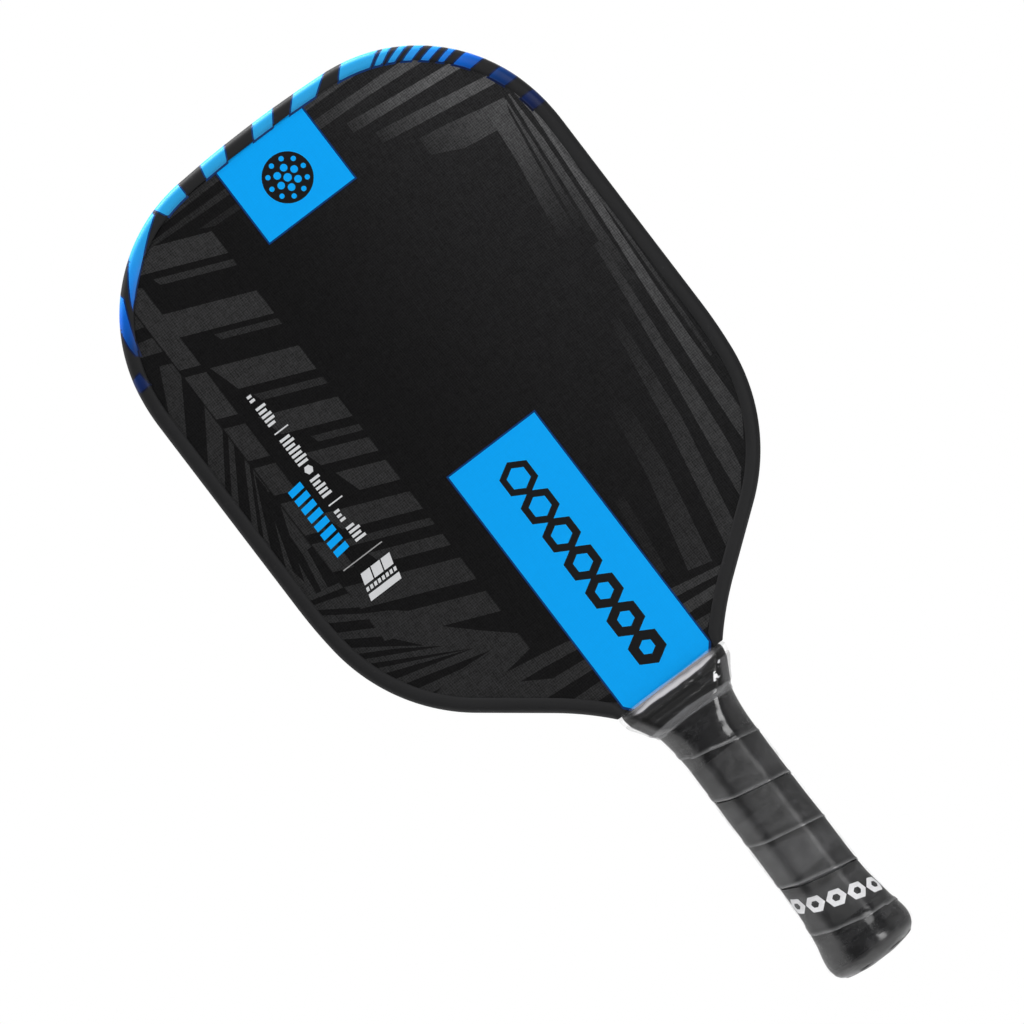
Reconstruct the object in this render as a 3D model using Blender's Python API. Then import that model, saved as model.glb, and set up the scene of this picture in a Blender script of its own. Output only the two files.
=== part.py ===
"""Pickleball paddle, standing on its butt end: +Z runs from the butt to the crown of the head, the playing faces
look along -Y (front) and +Y (back), and the origin is the middle of the flat on the butt cap.
All lengths below are millimetres and become metres in add_node()."""

import math

import bmesh
import bpy
from mathutils.geometry import delaunay_2d_cdt

MM = 0.001

# ---------------------------------------------------------------- head outline (outer edge of the edge guard)
HALF_WIDTH = 99.2
SIDE_TOP_Z = 336.5  # the straight side ends here and the shoulder starts
SHOULDER_R, SHOULDER_DEG = 83.4, 11.4
CORNER_R, CORNER_DEG = 68.3, 85.7
CROWN_R = 481.0
SIDE_BOTTOM_Z = 246.8
HIP_R, HIP_DEG = 203.4, 6.0
FLANK_R, FLANK_DEG = 77.6, 52.5
FLANK_RUN = 30.0  # straight diagonal below the flank
THROAT_R = 132.0  # hollow curve from the diagonal to the neck
GUARD_END_Z = 136.7

# ---------------------------------------------------------------- sandwich panel
PANEL_INSET = 2.0  # from the guard's outer edge to the edge of the panel
CORE_HALF = 6.9
SHEET_IN, SHEET_OUT = 7.0, 7.5
NECK_R = 30.0
TANG_HALF = 9.8
TANG_END_Z = 3.6
CELL_PITCH = 13.0
CELL_WALL = 0.9
CELL_EDGE = 1.6  # least material between a cell and the edge of the core

# ---------------------------------------------------------------- handle envelope: z, half width, half depth, half front facet, half side facet
ENVELOPE = [
    (1.9, 15.9, 13.9, 8.0, 5.6),
    (2.6, 17.0, 14.8, 8.4, 6.0),
    (3.6, 18.0, 15.7, 8.8, 6.4),
    (5.0, 18.8, 16.4, 9.0, 6.6),
    (6.6, 19.25, 16.8, 9.2, 6.8),
    (8.6, 19.4, 16.9, 9.2, 6.8),
    (11.0, 19.2, 16.7, 9.2, 6.8),
    (14.0, 18.6, 16.2, 9.1, 6.6),
    (17.0, 17.9, 15.6, 9.0, 6.5),
    (20.0, 17.4, 15.1, 8.9, 6.3),
    (24.0, 16.8, 14.6, 8.8, 6.2),
    (29.0, 16.1, 14.0, 8.7, 6.1),
    (34.0, 15.75, 13.7, 8.6, 6.0),
    (42.0, 15.6, 13.6, 8.6, 6.0),
    (102.0, 15.55, 13.6, 8.6, 6.0),
    (107.0, 15.7, 13.6, 8.7, 5.9),
    (111.0, 16.0, 13.6, 9.3, 5.7),
    (115.0, 16.5, 13.6, 10.5, 5.5),
    (118.5, 17.1, 13.65, 11.9, 5.3),
    (121.3, 17.7, 13.7, 13.1, 5.1),
    (121.7, 17.9, 13.75, 13.3, 5.1),
    (123.0, 18.9, 13.8, 14.0, 5.2),
    (124.4, 19.8, 13.5, 14.8, 5.3),
    (125.2, 20.3, 12.9, 15.3, 5.3),
    (126.4, 21.2, 12.8, 16.2, 5.4),
    (127.4, 21.6, 12.0, 16.8, 5.5),
    (128.6, 22.3, 11.9, 17.5, 5.5),
    (129.6, 22.7, 11.1, 18.1, 5.6),
    (130.8, 23.3, 11.0, 18.8, 5.7),
    (132.0, 23.7, 10.2, 19.4, 5.8),
    (133.4, 24.0, 10.0, 20.2, 6.0),
    (134.4, 24.1, 9.3, 20.8, 6.1),
    (135.6, 24.2, 9.1, 21.4, 6.2),
    (136.2, 23.9, 8.7, 21.4, 6.2),
]
CORNER_SOFT = 1.5  # how far each corner of the octagon is cut back along both of its sides
GRIP_THICK = 1.6
GRIP_TOP_Z, GRIP_BOTTOM_Z = 121.3, 2.0
GRIP_PITCH, GRIP_GAP = 21.3, 0.3
GRIP_SEAM_Z = 104.8  # height of the first seam at the middle of the front facet
GRIP_EDGE = 0.5  # bevel along both edges of the strip
COLLAR_BOTTOM_Z, COLLAR_TOP_Z = 121.7, 136.2
CAP_OFFSET, CAP_WALL, CAP_RIM_Z, CAP_FLOOR_Z = 2.15, 1.0, 22.0, 3.2
FILM_OFFSET, FILM_THICK = 0.2, 0.15
FILM_BOTTOM_Z, FILM_TOP_Z = 2.3, 136.4
CLEAR = 0.15  # gap around parts that sit inside one another
PALLET_BOTTOM_Z, PALLET_SHOULDER_Z, PALLET_TOP_Z = 3.5, 22.3, 131.6


# ---------------------------------------------------------------- scene and meshes
def clear_scene():
    for obj in list(bpy.data.objects):
        bpy.data.objects.remove(obj, do_unlink=True)


def material(name, color, roughness, alpha=1.0, metallic=0.0):
    made = bpy.data.materials.get(name)
    if made:
        return made
    made = bpy.data.materials.new(name)
    made.use_nodes = True
    shader = made.node_tree.nodes["Principled BSDF"]
    shader.inputs["Base Color"].default_value = (*color, 1.0)
    shader.inputs["Roughness"].default_value = roughness
    shader.inputs["Metallic"].default_value = metallic
    shader.inputs["Alpha"].default_value = alpha
    return made


def add_node(name, points, faces, slot):
    mesh = bpy.data.meshes.new(name)
    mesh.from_pydata([(x * MM, y * MM, z * MM) for x, y, z in points], [], faces)
    work = bmesh.new()
    work.from_mesh(mesh)
    bmesh.ops.recalc_face_normals(work, faces=work.faces)
    work.to_mesh(mesh)
    work.free()
    mesh.materials.append(slot)
    obj = bpy.data.objects.new(name, mesh)
    bpy.context.scene.collection.objects.link(obj)
    return obj


def loft(rings, capped):
    """Points and faces of a skin over rings of equal length: closed by two caps, or joined end to start."""
    count = len(rings[0])
    points = [p for ring in rings for p in ring]
    faces = []
    last = len(rings) - 1 if capped else len(rings)
    for i in range(last):
        a, b = i * count, ((i + 1) % len(rings)) * count
        for j in range(count):
            k = (j + 1) % count
            faces.append((a + j, a + k, b + k, b + j))
    if capped:
        faces.append(tuple(range(count)))
        faces.append(tuple(range(len(points) - count, len(points))))
    return points, faces


# ---------------------------------------------------------------- outline
def arc(x, z, radius, start, end, steps, turn):
    """Points and outward normals along an arc that leaves (x, z) with its normal at angle start."""
    out = []
    for i in range(1, steps + 1):
        t = start + (end - start) * i / steps
        out.append(
            (
                x + turn * radius * (math.cos(t) - math.cos(start)),
                z + turn * radius * (math.sin(t) - math.sin(start)),
                math.cos(t),
                math.sin(t),
            )
        )
    return out


def right_outline():
    """From the crown down the right side to the end of the edge guard: x, z, normal x, normal z."""
    up = [(HALF_WIDTH, SIDE_TOP_Z, 1.0, 0.0)]
    a, b, c = 0.0, math.radians(SHOULDER_DEG), math.radians(CORNER_DEG)
    up += arc(*up[-1][:2], SHOULDER_R, a, b, 3, 1)
    up += arc(*up[-1][:2], CORNER_R, b, c, 18, 1)
    up += arc(*up[-1][:2], CROWN_R, c, math.pi / 2, 4, 1)
    up[-1] = (0.0, up[-1][1], 0.0, 1.0)
    down = [(HALF_WIDTH, (SIDE_TOP_Z + SIDE_BOTTOM_Z) / 2, 1.0, 0.0), (HALF_WIDTH, SIDE_BOTTOM_Z, 1.0, 0.0)]
    d, e = -math.radians(HIP_DEG), -math.radians(FLANK_DEG)
    down += arc(*down[-1][:2], HIP_R, 0.0, d, 2, 1)
    down += arc(*down[-1][:2], FLANK_R, d, e, 13, 1)
    x, z, n, m = down[-1]
    down.append((x + m * FLANK_RUN, z - n * FLANK_RUN, n, m))
    x, z = down[-1][:2]
    # the throat's normal turns back until the guard's end height is reached
    drop = (z - GUARD_END_Z) / THROAT_R
    end = -math.asin(math.sin(-e) - drop)
    down += arc(x, z, THROAT_R, e, end, 4, -1)
    return list(reversed(up)) + down


def whole(right):
    """The full open path, left end to right end, over the crown."""
    left = [(-x, z, -n, m) for x, z, n, m in reversed(right[1:])]
    return left + right


def panel_loop(inset):
    """Closed outline of the sandwich panel with its neck and tang, inset from the guard's outer edge."""
    right = [(x - n * inset, z - m * inset) for x, z, n, m in right_outline()]
    x, z, n, m = right_outline()[-1]
    x, z = right[-1]
    turn = math.acos(n)
    extra = inset - PANEL_INSET
    tang = TANG_HALF - extra
    run = (x - tang - NECK_R * (1 - math.cos(turn))) / math.sin(turn)
    x, z = x - run * math.sin(turn), z - run * math.cos(turn)
    right.append((x, z))
    for i in range(1, 7):
        t = turn * (1 - i / 6)
        right.append((x - NECK_R * (math.cos(t) - math.cos(turn)), z - NECK_R * (math.sin(turn) - math.sin(t))))
    right[-1] = (tang, right[-1][1])
    right.append((tang, TANG_END_Z + extra))
    left = [(-x, z) for x, z in reversed(right[1:])]
    return right + left


def half_width_at(z):
    """Half width of the panel at a height in the neck."""
    loop = [p for p in panel_loop(PANEL_INSET) if p[0] >= 0 and p[1] < 150.0]
    loop.sort(key=lambda p: p[1])
    for a, b in zip(loop, loop[1:]):
        if a[1] <= z <= b[1] and b[1] > a[1]:
            return a[0] + (b[0] - a[0]) * (z - a[1]) / (b[1] - a[1])
    return TANG_HALF


# ---------------------------------------------------------------- plates cut from the outline
def plate(loops, near, far):
    """A plate between two Y planes. The first loop is its edge and the others are holes."""
    flat, inputs = [], []
    for loop in loops:
        area = sum(a[0] * b[1] - b[0] * a[1] for a, b in zip(loop, loop[1:] + loop[:1]))
        inputs.append(list(range(len(flat), len(flat) + len(loop))))
        flat += loop if area > 0 else loop[::-1]
    made = delaunay_2d_cdt(flat, [], inputs, 1, 1e-6)
    points_2d, tris, origins = made[0], made[2], made[5]
    kept = [t for t, source in zip(tris, origins) if list(source) == [0]]
    count = len(points_2d)
    points = [(p[0], near, p[1]) for p in points_2d] + [(p[0], far, p[1]) for p in points_2d]
    faces = [tuple(t) for t in kept] + [tuple(count + i for i in reversed(t)) for t in kept]
    used = {}
    for t in kept:
        for a, b in ((t[0], t[1]), (t[1], t[2]), (t[2], t[0])):
            used[(a, b)] = used.get((a, b), 0) + 1
    for a, b in used:
        if (b, a) not in used:
            faces.append((a, b, count + b, count + a))
    keep = sorted({i for f in faces for i in f})
    index = {old: new for new, old in enumerate(keep)}
    return [points[i] for i in keep], [tuple(index[i] for i in f) for f in faces]


def inside(point, loop):
    x, z = point
    found = False
    for (x0, z0), (x1, z1) in zip(loop, loop[1:] + loop[:1]):
        if (z0 > z) != (z1 > z) and x < x0 + (z - z0) * (x1 - x0) / (z1 - z0):
            found = not found
    return found


def cells():
    """Hexagonal cells of the core, whole ones only."""
    limit = panel_loop(PANEL_INSET + CELL_EDGE)
    across = (CELL_PITCH - CELL_WALL) / math.sqrt(3)
    found = []
    row_step = CELL_PITCH * math.sqrt(3) / 2
    for row in range(60):
        z = 4.0 + row * row_step
        for column in range(-10, 11):
            x = (column + 0.5 * (row % 2)) * CELL_PITCH
            cell = [
                (x + across * math.sin(math.radians(60 * k)), z + across * math.cos(math.radians(60 * k)))
                for k in range(6)
            ]
            if all(inside(p, limit) for p in cell):
                found.append(cell)
    return found


# ---------------------------------------------------------------- handle sections
def envelope(z):
    if z <= ENVELOPE[0][0]:
        return ENVELOPE[0][1:]
    for a, b in zip(ENVELOPE, ENVELOPE[1:]):
        if z <= b[0]:
            t = (z - a[0]) / (b[0] - a[0])
            return tuple(p + (q - p) * t for p, q in zip(a[1:], b[1:]))
    return ENVELOPE[-1][1:]


def octagon(w, d, f, s, inset):
    """Corners of the octagon moved inwards by inset, anticlockwise seen from above, starting at the back right."""
    nx, ny = d - s, w - f
    size = math.hypot(nx, ny)
    nx, ny = nx / size, ny / size
    reach = nx * w + ny * s - inset
    w, d = w - inset, d - inset
    s = (reach - nx * w) / ny
    f = (reach - ny * d) / nx
    return [(f, d), (-f, d), (-w, s), (-w, -s), (-f, -d), (f, -d), (w, -s), (w, s)]


def section(z, inset=0.0):
    """16 points around the handle: each corner of the octagon cut into two."""
    corners = octagon(*envelope(z), inset)
    out = []
    for i, (x, y) in enumerate(corners):
        (ax, ay), (bx, by) = corners[i - 1], corners[(i + 1) % 8]
        la, lb = math.hypot(ax - x, ay - y), math.hypot(bx - x, by - y)
        cut = min(CORNER_SOFT, 0.45 * la, 0.45 * lb)
        p = (x + (ax - x) / la * cut, y + (ay - y) / la * cut)
        q = (x + (bx - x) / lb * cut, y + (by - y) / lb * cut)
        out += [p, q]
    return out


def ring(z, inset=0.0, at=None):
    return [(x, y, z if at is None else at) for x, y in section(z, inset)]


def levels(bottom, top):
    out = [bottom] + [row[0] for row in ENVELOPE if bottom < row[0] < top] + [top]
    return [z for i, z in enumerate(out) if i == 0 or z - out[i - 1] > 0.05]


# ---------------------------------------------------------------- the pieces
def make_panel():
    outline = panel_loop(PANEL_INSET)
    core = material("core_polypropylene", (0.80, 0.80, 0.76), 0.6)
    skin = material("face_laminate", (0.012, 0.012, 0.013), 0.55)
    points, faces = plate([outline] + cells(), -CORE_HALF, CORE_HALF)
    add_node("honeycomb_core", points, faces, core)
    for name, near, far in (("front_face_sheet", -SHEET_OUT, -SHEET_IN), ("back_face_sheet", SHEET_IN, SHEET_OUT)):
        points, faces = plate([outline], near, far)
        add_node(name, points, faces, skin)


def make_guard():
    """A U channel with rounded lips over the edge of the panel. The profile is (distance inwards, Y)."""
    half = [(0.0, 0.0), (0.0, 4.4), (0.14, 6.0), (0.62, 7.2), (1.5, 8.0), (2.7, 8.35), (4.3, 8.35), (5.5, 8.15), (6.1, 7.85), (6.1, 7.6), (1.85, 7.6)]
    profile = [(n, -y) for n, y in reversed(half[1:])] + half
    rings = []
    for x, z, nx, nz in whole(right_outline()):
        rings.append([(x - nx * n, y, z - nz * n) for n, y in profile])
    # both ends are cut level, where the collar starts
    for ends in (rings[0], rings[-1]):
        ends[:] = [(x, y, GUARD_END_Z) for x, y, _ in ends]
    points, faces = loft(rings, True)
    add_node("edge_guard", points, faces, material("guard_tpu", (0.010, 0.010, 0.011), 0.32))


def make_pallets():
    """Two foam halves that close around the tang. A tapered nose on each runs on under the collar."""
    foam = material("pallet_foam", (0.16, 0.16, 0.17), 0.8)
    heights = levels(PALLET_BOTTOM_Z, PALLET_SHOULDER_Z) + levels(PALLET_SHOULDER_Z + 0.01, GRIP_TOP_Z)
    bed = SHEET_OUT + CLEAR
    for name, side in (("front_handle_pallet", -1.0), ("back_handle_pallet", 1.0)):
        rings = []
        for z in heights:
            inset = GRIP_THICK + 0.3 if z > PALLET_SHOULDER_Z else CAP_OFFSET + CAP_WALL + CLEAR
            channel = half_width_at(z) + CLEAR
            soft = section(z, inset)
            half = soft[14:16] + soft[0:2]
            half = [(half[0][0], 0.1)] + half
            shape = half + [(-x, y) for x, y in reversed(half)]
            shape += [(-channel, 0.1), (-channel, bed), (channel, bed), (channel, 0.1)]
            rings.append([(x, side * y, z) for x, y in shape])
        points, faces = loft(rings, True)
        body = add_node(name, points, faces, foam)
        rings = []
        for z, half_x in ((119.4, 9.0), (121.6, 10.5), (124.4, 11.8), (127.4, 13.2), (130.4, 14.6), (PALLET_TOP_Z, 15.2)):
            top = envelope(z)[1] - 2.3
            shape = [(half_x, bed + 0.04), (half_x, top - 0.3), (half_x - 0.8, top), (-half_x + 0.8, top), (-half_x, top - 0.3), (-half_x, bed + 0.04)]
            rings.append([(x, side * y, z) for x, y in shape])
        points, faces = loft(rings, True)
        nose = add_node(name + "_nose", points, faces, foam)
        nose.hide_render = True
        nose.display_type = "WIRE"
        joined = body.modifiers.new("nose", "BOOLEAN")
        joined.operation = "UNION"
        joined.solver = "EXACT"
        joined.object = nose


def make_cap():
    """A flared cup over the end of the pallets, with a low dome and a flat in its middle."""
    def flat_ring(scale, z):
        return [(x * scale, y * scale, z) for x, y in section(GRIP_BOTTOM_Z, 0.0)]

    rings = [flat_ring(0.46, 0.0), flat_ring(0.62, 0.25), flat_ring(0.80, 0.75), flat_ring(0.95, 1.45), flat_ring(0.985, 1.75)]
    rings.append([(x, y, 1.80) for x, y in section(GRIP_BOTTOM_Z, CAP_OFFSET)])
    rings += [ring(z, CAP_OFFSET) for z in levels(GRIP_BOTTOM_Z + 0.3, CAP_RIM_Z)]
    inner = CAP_OFFSET + CAP_WALL
    rings += [ring(z, inner) for z in reversed(levels(CAP_FLOOR_Z, CAP_RIM_Z))]
    points, faces = loft(rings, True)
    add_node("butt_cap", points, faces, material("cap_plastic", (0.010, 0.010, 0.010), 0.4))


def spread(bottom, top, count):
    """Heights from bottom to top, closer together where the butt flares."""
    def measure(z):
        return z - 14.0 * math.exp(-(z - GRIP_BOTTOM_Z) / 4.0)

    out = [bottom]
    for k in range(1, count - 1):
        goal = measure(bottom) + (measure(top) - measure(bottom)) * k / (count - 1)
        low, high = bottom, top
        for _ in range(40):
            middle = 0.5 * (low + high)
            low, high = (middle, high) if measure(middle) < goal else (low, middle)
        out.append(low)
    return out + [top]


def make_grip():
    """One strip wound down the handle. It falls by one pitch per turn, left to right across the front."""
    base = section(70.0)
    count = len(base)
    lengths = [math.dist(base[i], base[(i + 1) % count]) for i in range(count)]
    total = sum(lengths)
    shares = [sum(lengths[:i]) / total for i in range(count)]
    front = 4.5 * 2 + 0.5  # the front facet's middle, between its corners 4 and 5
    low = int(front)
    middle = shares[low] + (shares[low + 1] - shares[low]) * (front - low)
    width = GRIP_PITCH - GRIP_GAP
    thinnest = 1.4
    rings = []
    for step in range(-3 * count, 9 * count):
        turn, i = divmod(step, count)
        upper = GRIP_SEAM_Z + GRIP_PITCH * (middle - shares[i] - turn)
        lower = upper - width
        upper, lower = min(upper, GRIP_TOP_Z), max(lower, GRIP_BOTTOM_Z)
        if upper - lower < thinnest:
            continue
        bevel = min(GRIP_EDGE, 0.3 * (upper - lower))
        spots = spread(lower + bevel, upper - bevel, 6)
        profile = [(lower, 0.55)] + [(z, 0.0) for z in spots] + [(upper, 0.55), (upper, GRIP_THICK)]
        profile += [(z, GRIP_THICK) for z in reversed(spread(lower, upper, 7)[1:-1])] + [(lower, GRIP_THICK)]
        points = []
        for z, inset in profile:
            x, y = section(z, inset)[i]
            points.append((x, y, z))
        rings.append(points)
    points, faces = loft(rings, True)
    add_node("grip_wrap", points, faces, material("grip_polyurethane", (0.035, 0.035, 0.037), 0.45))


def make_collar():
    """A flared rubber ring with three low ribs. Its bore clears the pallet noses and the neck of the panel."""
    outer = [ring(z, 0.0) for z in levels(COLLAR_BOTTOM_Z, COLLAR_TOP_Z)]
    inner = []
    for z in reversed(levels(COLLAR_BOTTOM_Z, COLLAR_TOP_Z)):
        w, d, f, s = envelope(z)
        corners = octagon(w, d, f, s, 1.3 if z < 133.0 else 1.0)
        w, d = corners[7][0], corners[0][1]
        d = max(d, SHEET_OUT + CLEAR)
        floor_w = half_width_at(z) + CLEAR + 0.1
        w = max(w, floor_w)
        s_in = min(corners[7][1], d - 0.4)
        f_in = min(corners[0][0], w - 0.4)
        if z > 132.6:
            # nothing but the panel is inside here, and its corners are square
            d, s_in = SHEET_OUT + CLEAR, SHEET_OUT + CLEAR - 0.2
            f_in = max(f_in, floor_w - 0.1)
        corners = [(f_in, d), (-f_in, d), (-w, s_in), (-w, -s_in), (-f_in, -d), (f_in, -d), (w, -s_in), (w, s_in)]
        shape = []
        for i, (x, y) in enumerate(corners):
            (ax, ay), (bx, by) = corners[i - 1], corners[(i + 1) % 8]
            la, lb = math.hypot(ax - x, ay - y), math.hypot(bx - x, by - y)
            cut = min(0.3, 0.3 * la, 0.3 * lb)
            shape += [(x + (ax - x) / la * cut, y + (ay - y) / la * cut), (x + (bx - x) / lb * cut, y + (by - y) / lb * cut)]
        inner.append([(x, y, z) for x, y in shape])
    points, faces = loft(outer + inner, False)
    add_node("grip_collar", points, faces, material("collar_rubber", (0.012, 0.012, 0.012), 0.6))


def make_film():
    """Clear protective film, shrunk over the grip and the collar."""
    heights = levels(FILM_BOTTOM_Z, FILM_TOP_Z)
    outer = [ring(z, -FILM_OFFSET - FILM_THICK) for z in heights]
    inner = [ring(z, -FILM_OFFSET) for z in reversed(heights)]
    points, faces = loft(outer + inner, False)
    add_node("grip_film", points, faces, material("film_clear", (0.9, 0.9, 0.92), 0.08, alpha=0.35))


clear_scene()
make_panel()
make_guard()
make_pallets()
make_cap()
make_grip()
make_collar()
make_film()
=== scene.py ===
"""Looks of the pickleball paddle. Lengths are millimetres in the row frame until add_object() scales them."""

import math

import bmesh
import bpy
from mathutils import Matrix, Vector, noise
from mathutils.geometry import delaunay_2d_cdt


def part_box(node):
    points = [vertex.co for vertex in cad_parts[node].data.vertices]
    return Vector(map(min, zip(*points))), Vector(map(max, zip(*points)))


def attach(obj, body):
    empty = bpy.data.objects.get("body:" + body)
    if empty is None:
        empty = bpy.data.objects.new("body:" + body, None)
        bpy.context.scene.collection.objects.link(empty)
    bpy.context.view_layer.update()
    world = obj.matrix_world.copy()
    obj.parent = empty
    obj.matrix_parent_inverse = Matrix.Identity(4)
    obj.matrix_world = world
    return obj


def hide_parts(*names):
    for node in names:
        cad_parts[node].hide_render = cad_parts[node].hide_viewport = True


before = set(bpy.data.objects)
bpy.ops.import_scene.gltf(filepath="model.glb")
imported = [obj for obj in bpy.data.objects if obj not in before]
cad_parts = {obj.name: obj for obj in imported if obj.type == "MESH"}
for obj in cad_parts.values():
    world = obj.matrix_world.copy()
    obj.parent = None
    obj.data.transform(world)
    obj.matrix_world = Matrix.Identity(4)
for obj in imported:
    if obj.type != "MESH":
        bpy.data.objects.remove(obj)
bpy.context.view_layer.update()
MM = 0.001
sheet_lo, sheet_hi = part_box("front_face_sheet")
guard_lo, guard_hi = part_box("edge_guard")
FACE_Y = max(abs(sheet_lo.y), abs(sheet_hi.y)) / MM
HALF_WIDTH, GUARD_HALF, GUARD_END_Z = guard_hi.x / MM, guard_hi.y / MM, guard_lo.z / MM


# ---------------------------------------------------------------- small helpers
def lin(r, g, b):
    """sRGB 0..255 to linear."""
    return tuple((c / 255 / 12.92) if c <= 10 else ((c / 255 + 0.055) / 1.055) ** 2.4 for c in (r, g, b))


def lerp(a, b, t):
    return a + (b - a) * t


def smooth(t):
    t = min(max(t, 0.0), 1.0)
    return t * t * (3 - 2 * t)


def signed_area(loop):
    """Twice the area inside a loop, positive when it runs anticlockwise."""
    return sum(a[0] * b[1] - b[0] * a[1] for a, b in zip(loop, loop[1:] + loop[:1]))


def strips(rows, count, wrap=False):
    """Faces between rows of count points, each row closed on itself. wrap joins the last row to the first."""
    faces = []
    for i in range(rows if wrap else rows - 1):
        a, b = i * count, (i + 1) % rows * count
        for j in range(count):
            k = (j + 1) % count
            faces.append((a + j, a + k, b + k, b + j))
    return faces


def capped(rings):
    """Points and faces of a skin over rings, closed at both ends."""
    count, points = len(rings[0]), [p for ring in rings for p in ring]
    ends = [tuple(range(count)), tuple(range(len(points) - count, len(points)))]
    return points, strips(len(rings), count) + ends


def without_loose(points, faces):
    """The same faces with only the points that they use."""
    used = sorted({i for face in faces for i in face})
    index = {old: new for new, old in enumerate(used)}
    return [points[i] for i in used], [tuple(index[i] for i in face) for face in faces]


def add_object(name, points, faces, mats):
    """A linked object whose points are given in millimetres."""
    mesh = bpy.data.meshes.new(name)
    mesh.from_pydata([(x * MM, y * MM, z * MM) for x, y, z in points], [], faces)
    for material in mats:
        mesh.materials.append(material)
    obj = bpy.data.objects.new(name, mesh)
    bpy.context.scene.collection.objects.link(obj)
    return obj


def mesh_piece(name, points, faces, mats, slot, kinds=None, smooth_shaded=True, closed=False):
    """A detailed piece on the root body. kinds: each face's material. closed: turn all faces outwards."""
    obj = add_object(name, points, faces, mats)
    mesh = obj.data
    if kinds:
        mesh.polygons.foreach_set("material_index", kinds)
    if closed:
        work = bmesh.new()
        work.from_mesh(mesh)
        bmesh.ops.recalc_face_normals(work, faces=work.faces)
        work.to_mesh(mesh)
        work.free()
    mesh.polygons.foreach_set("use_smooth", [smooth_shaded] * len(mesh.polygons))
    mesh.update()
    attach(obj, "root")
    return obj


def sharpen(obj, degrees):
    """Shading breaks at edges steeper than this."""
    obj.data.set_sharp_from_angle(angle=math.radians(degrees))


def add_attribute(obj, name, triples, domain="POINT"):
    """Three numbers for each point or face corner, read by the materials."""
    layer = obj.data.color_attributes.new(name, "FLOAT_COLOR", domain)
    layer.data.foreach_set("color", [v for triple in triples for v in (*triple, 1.0)])


# ---------------------------------------------------------------- node graphs
EASE = "SMOOTHSTEP"


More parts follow.
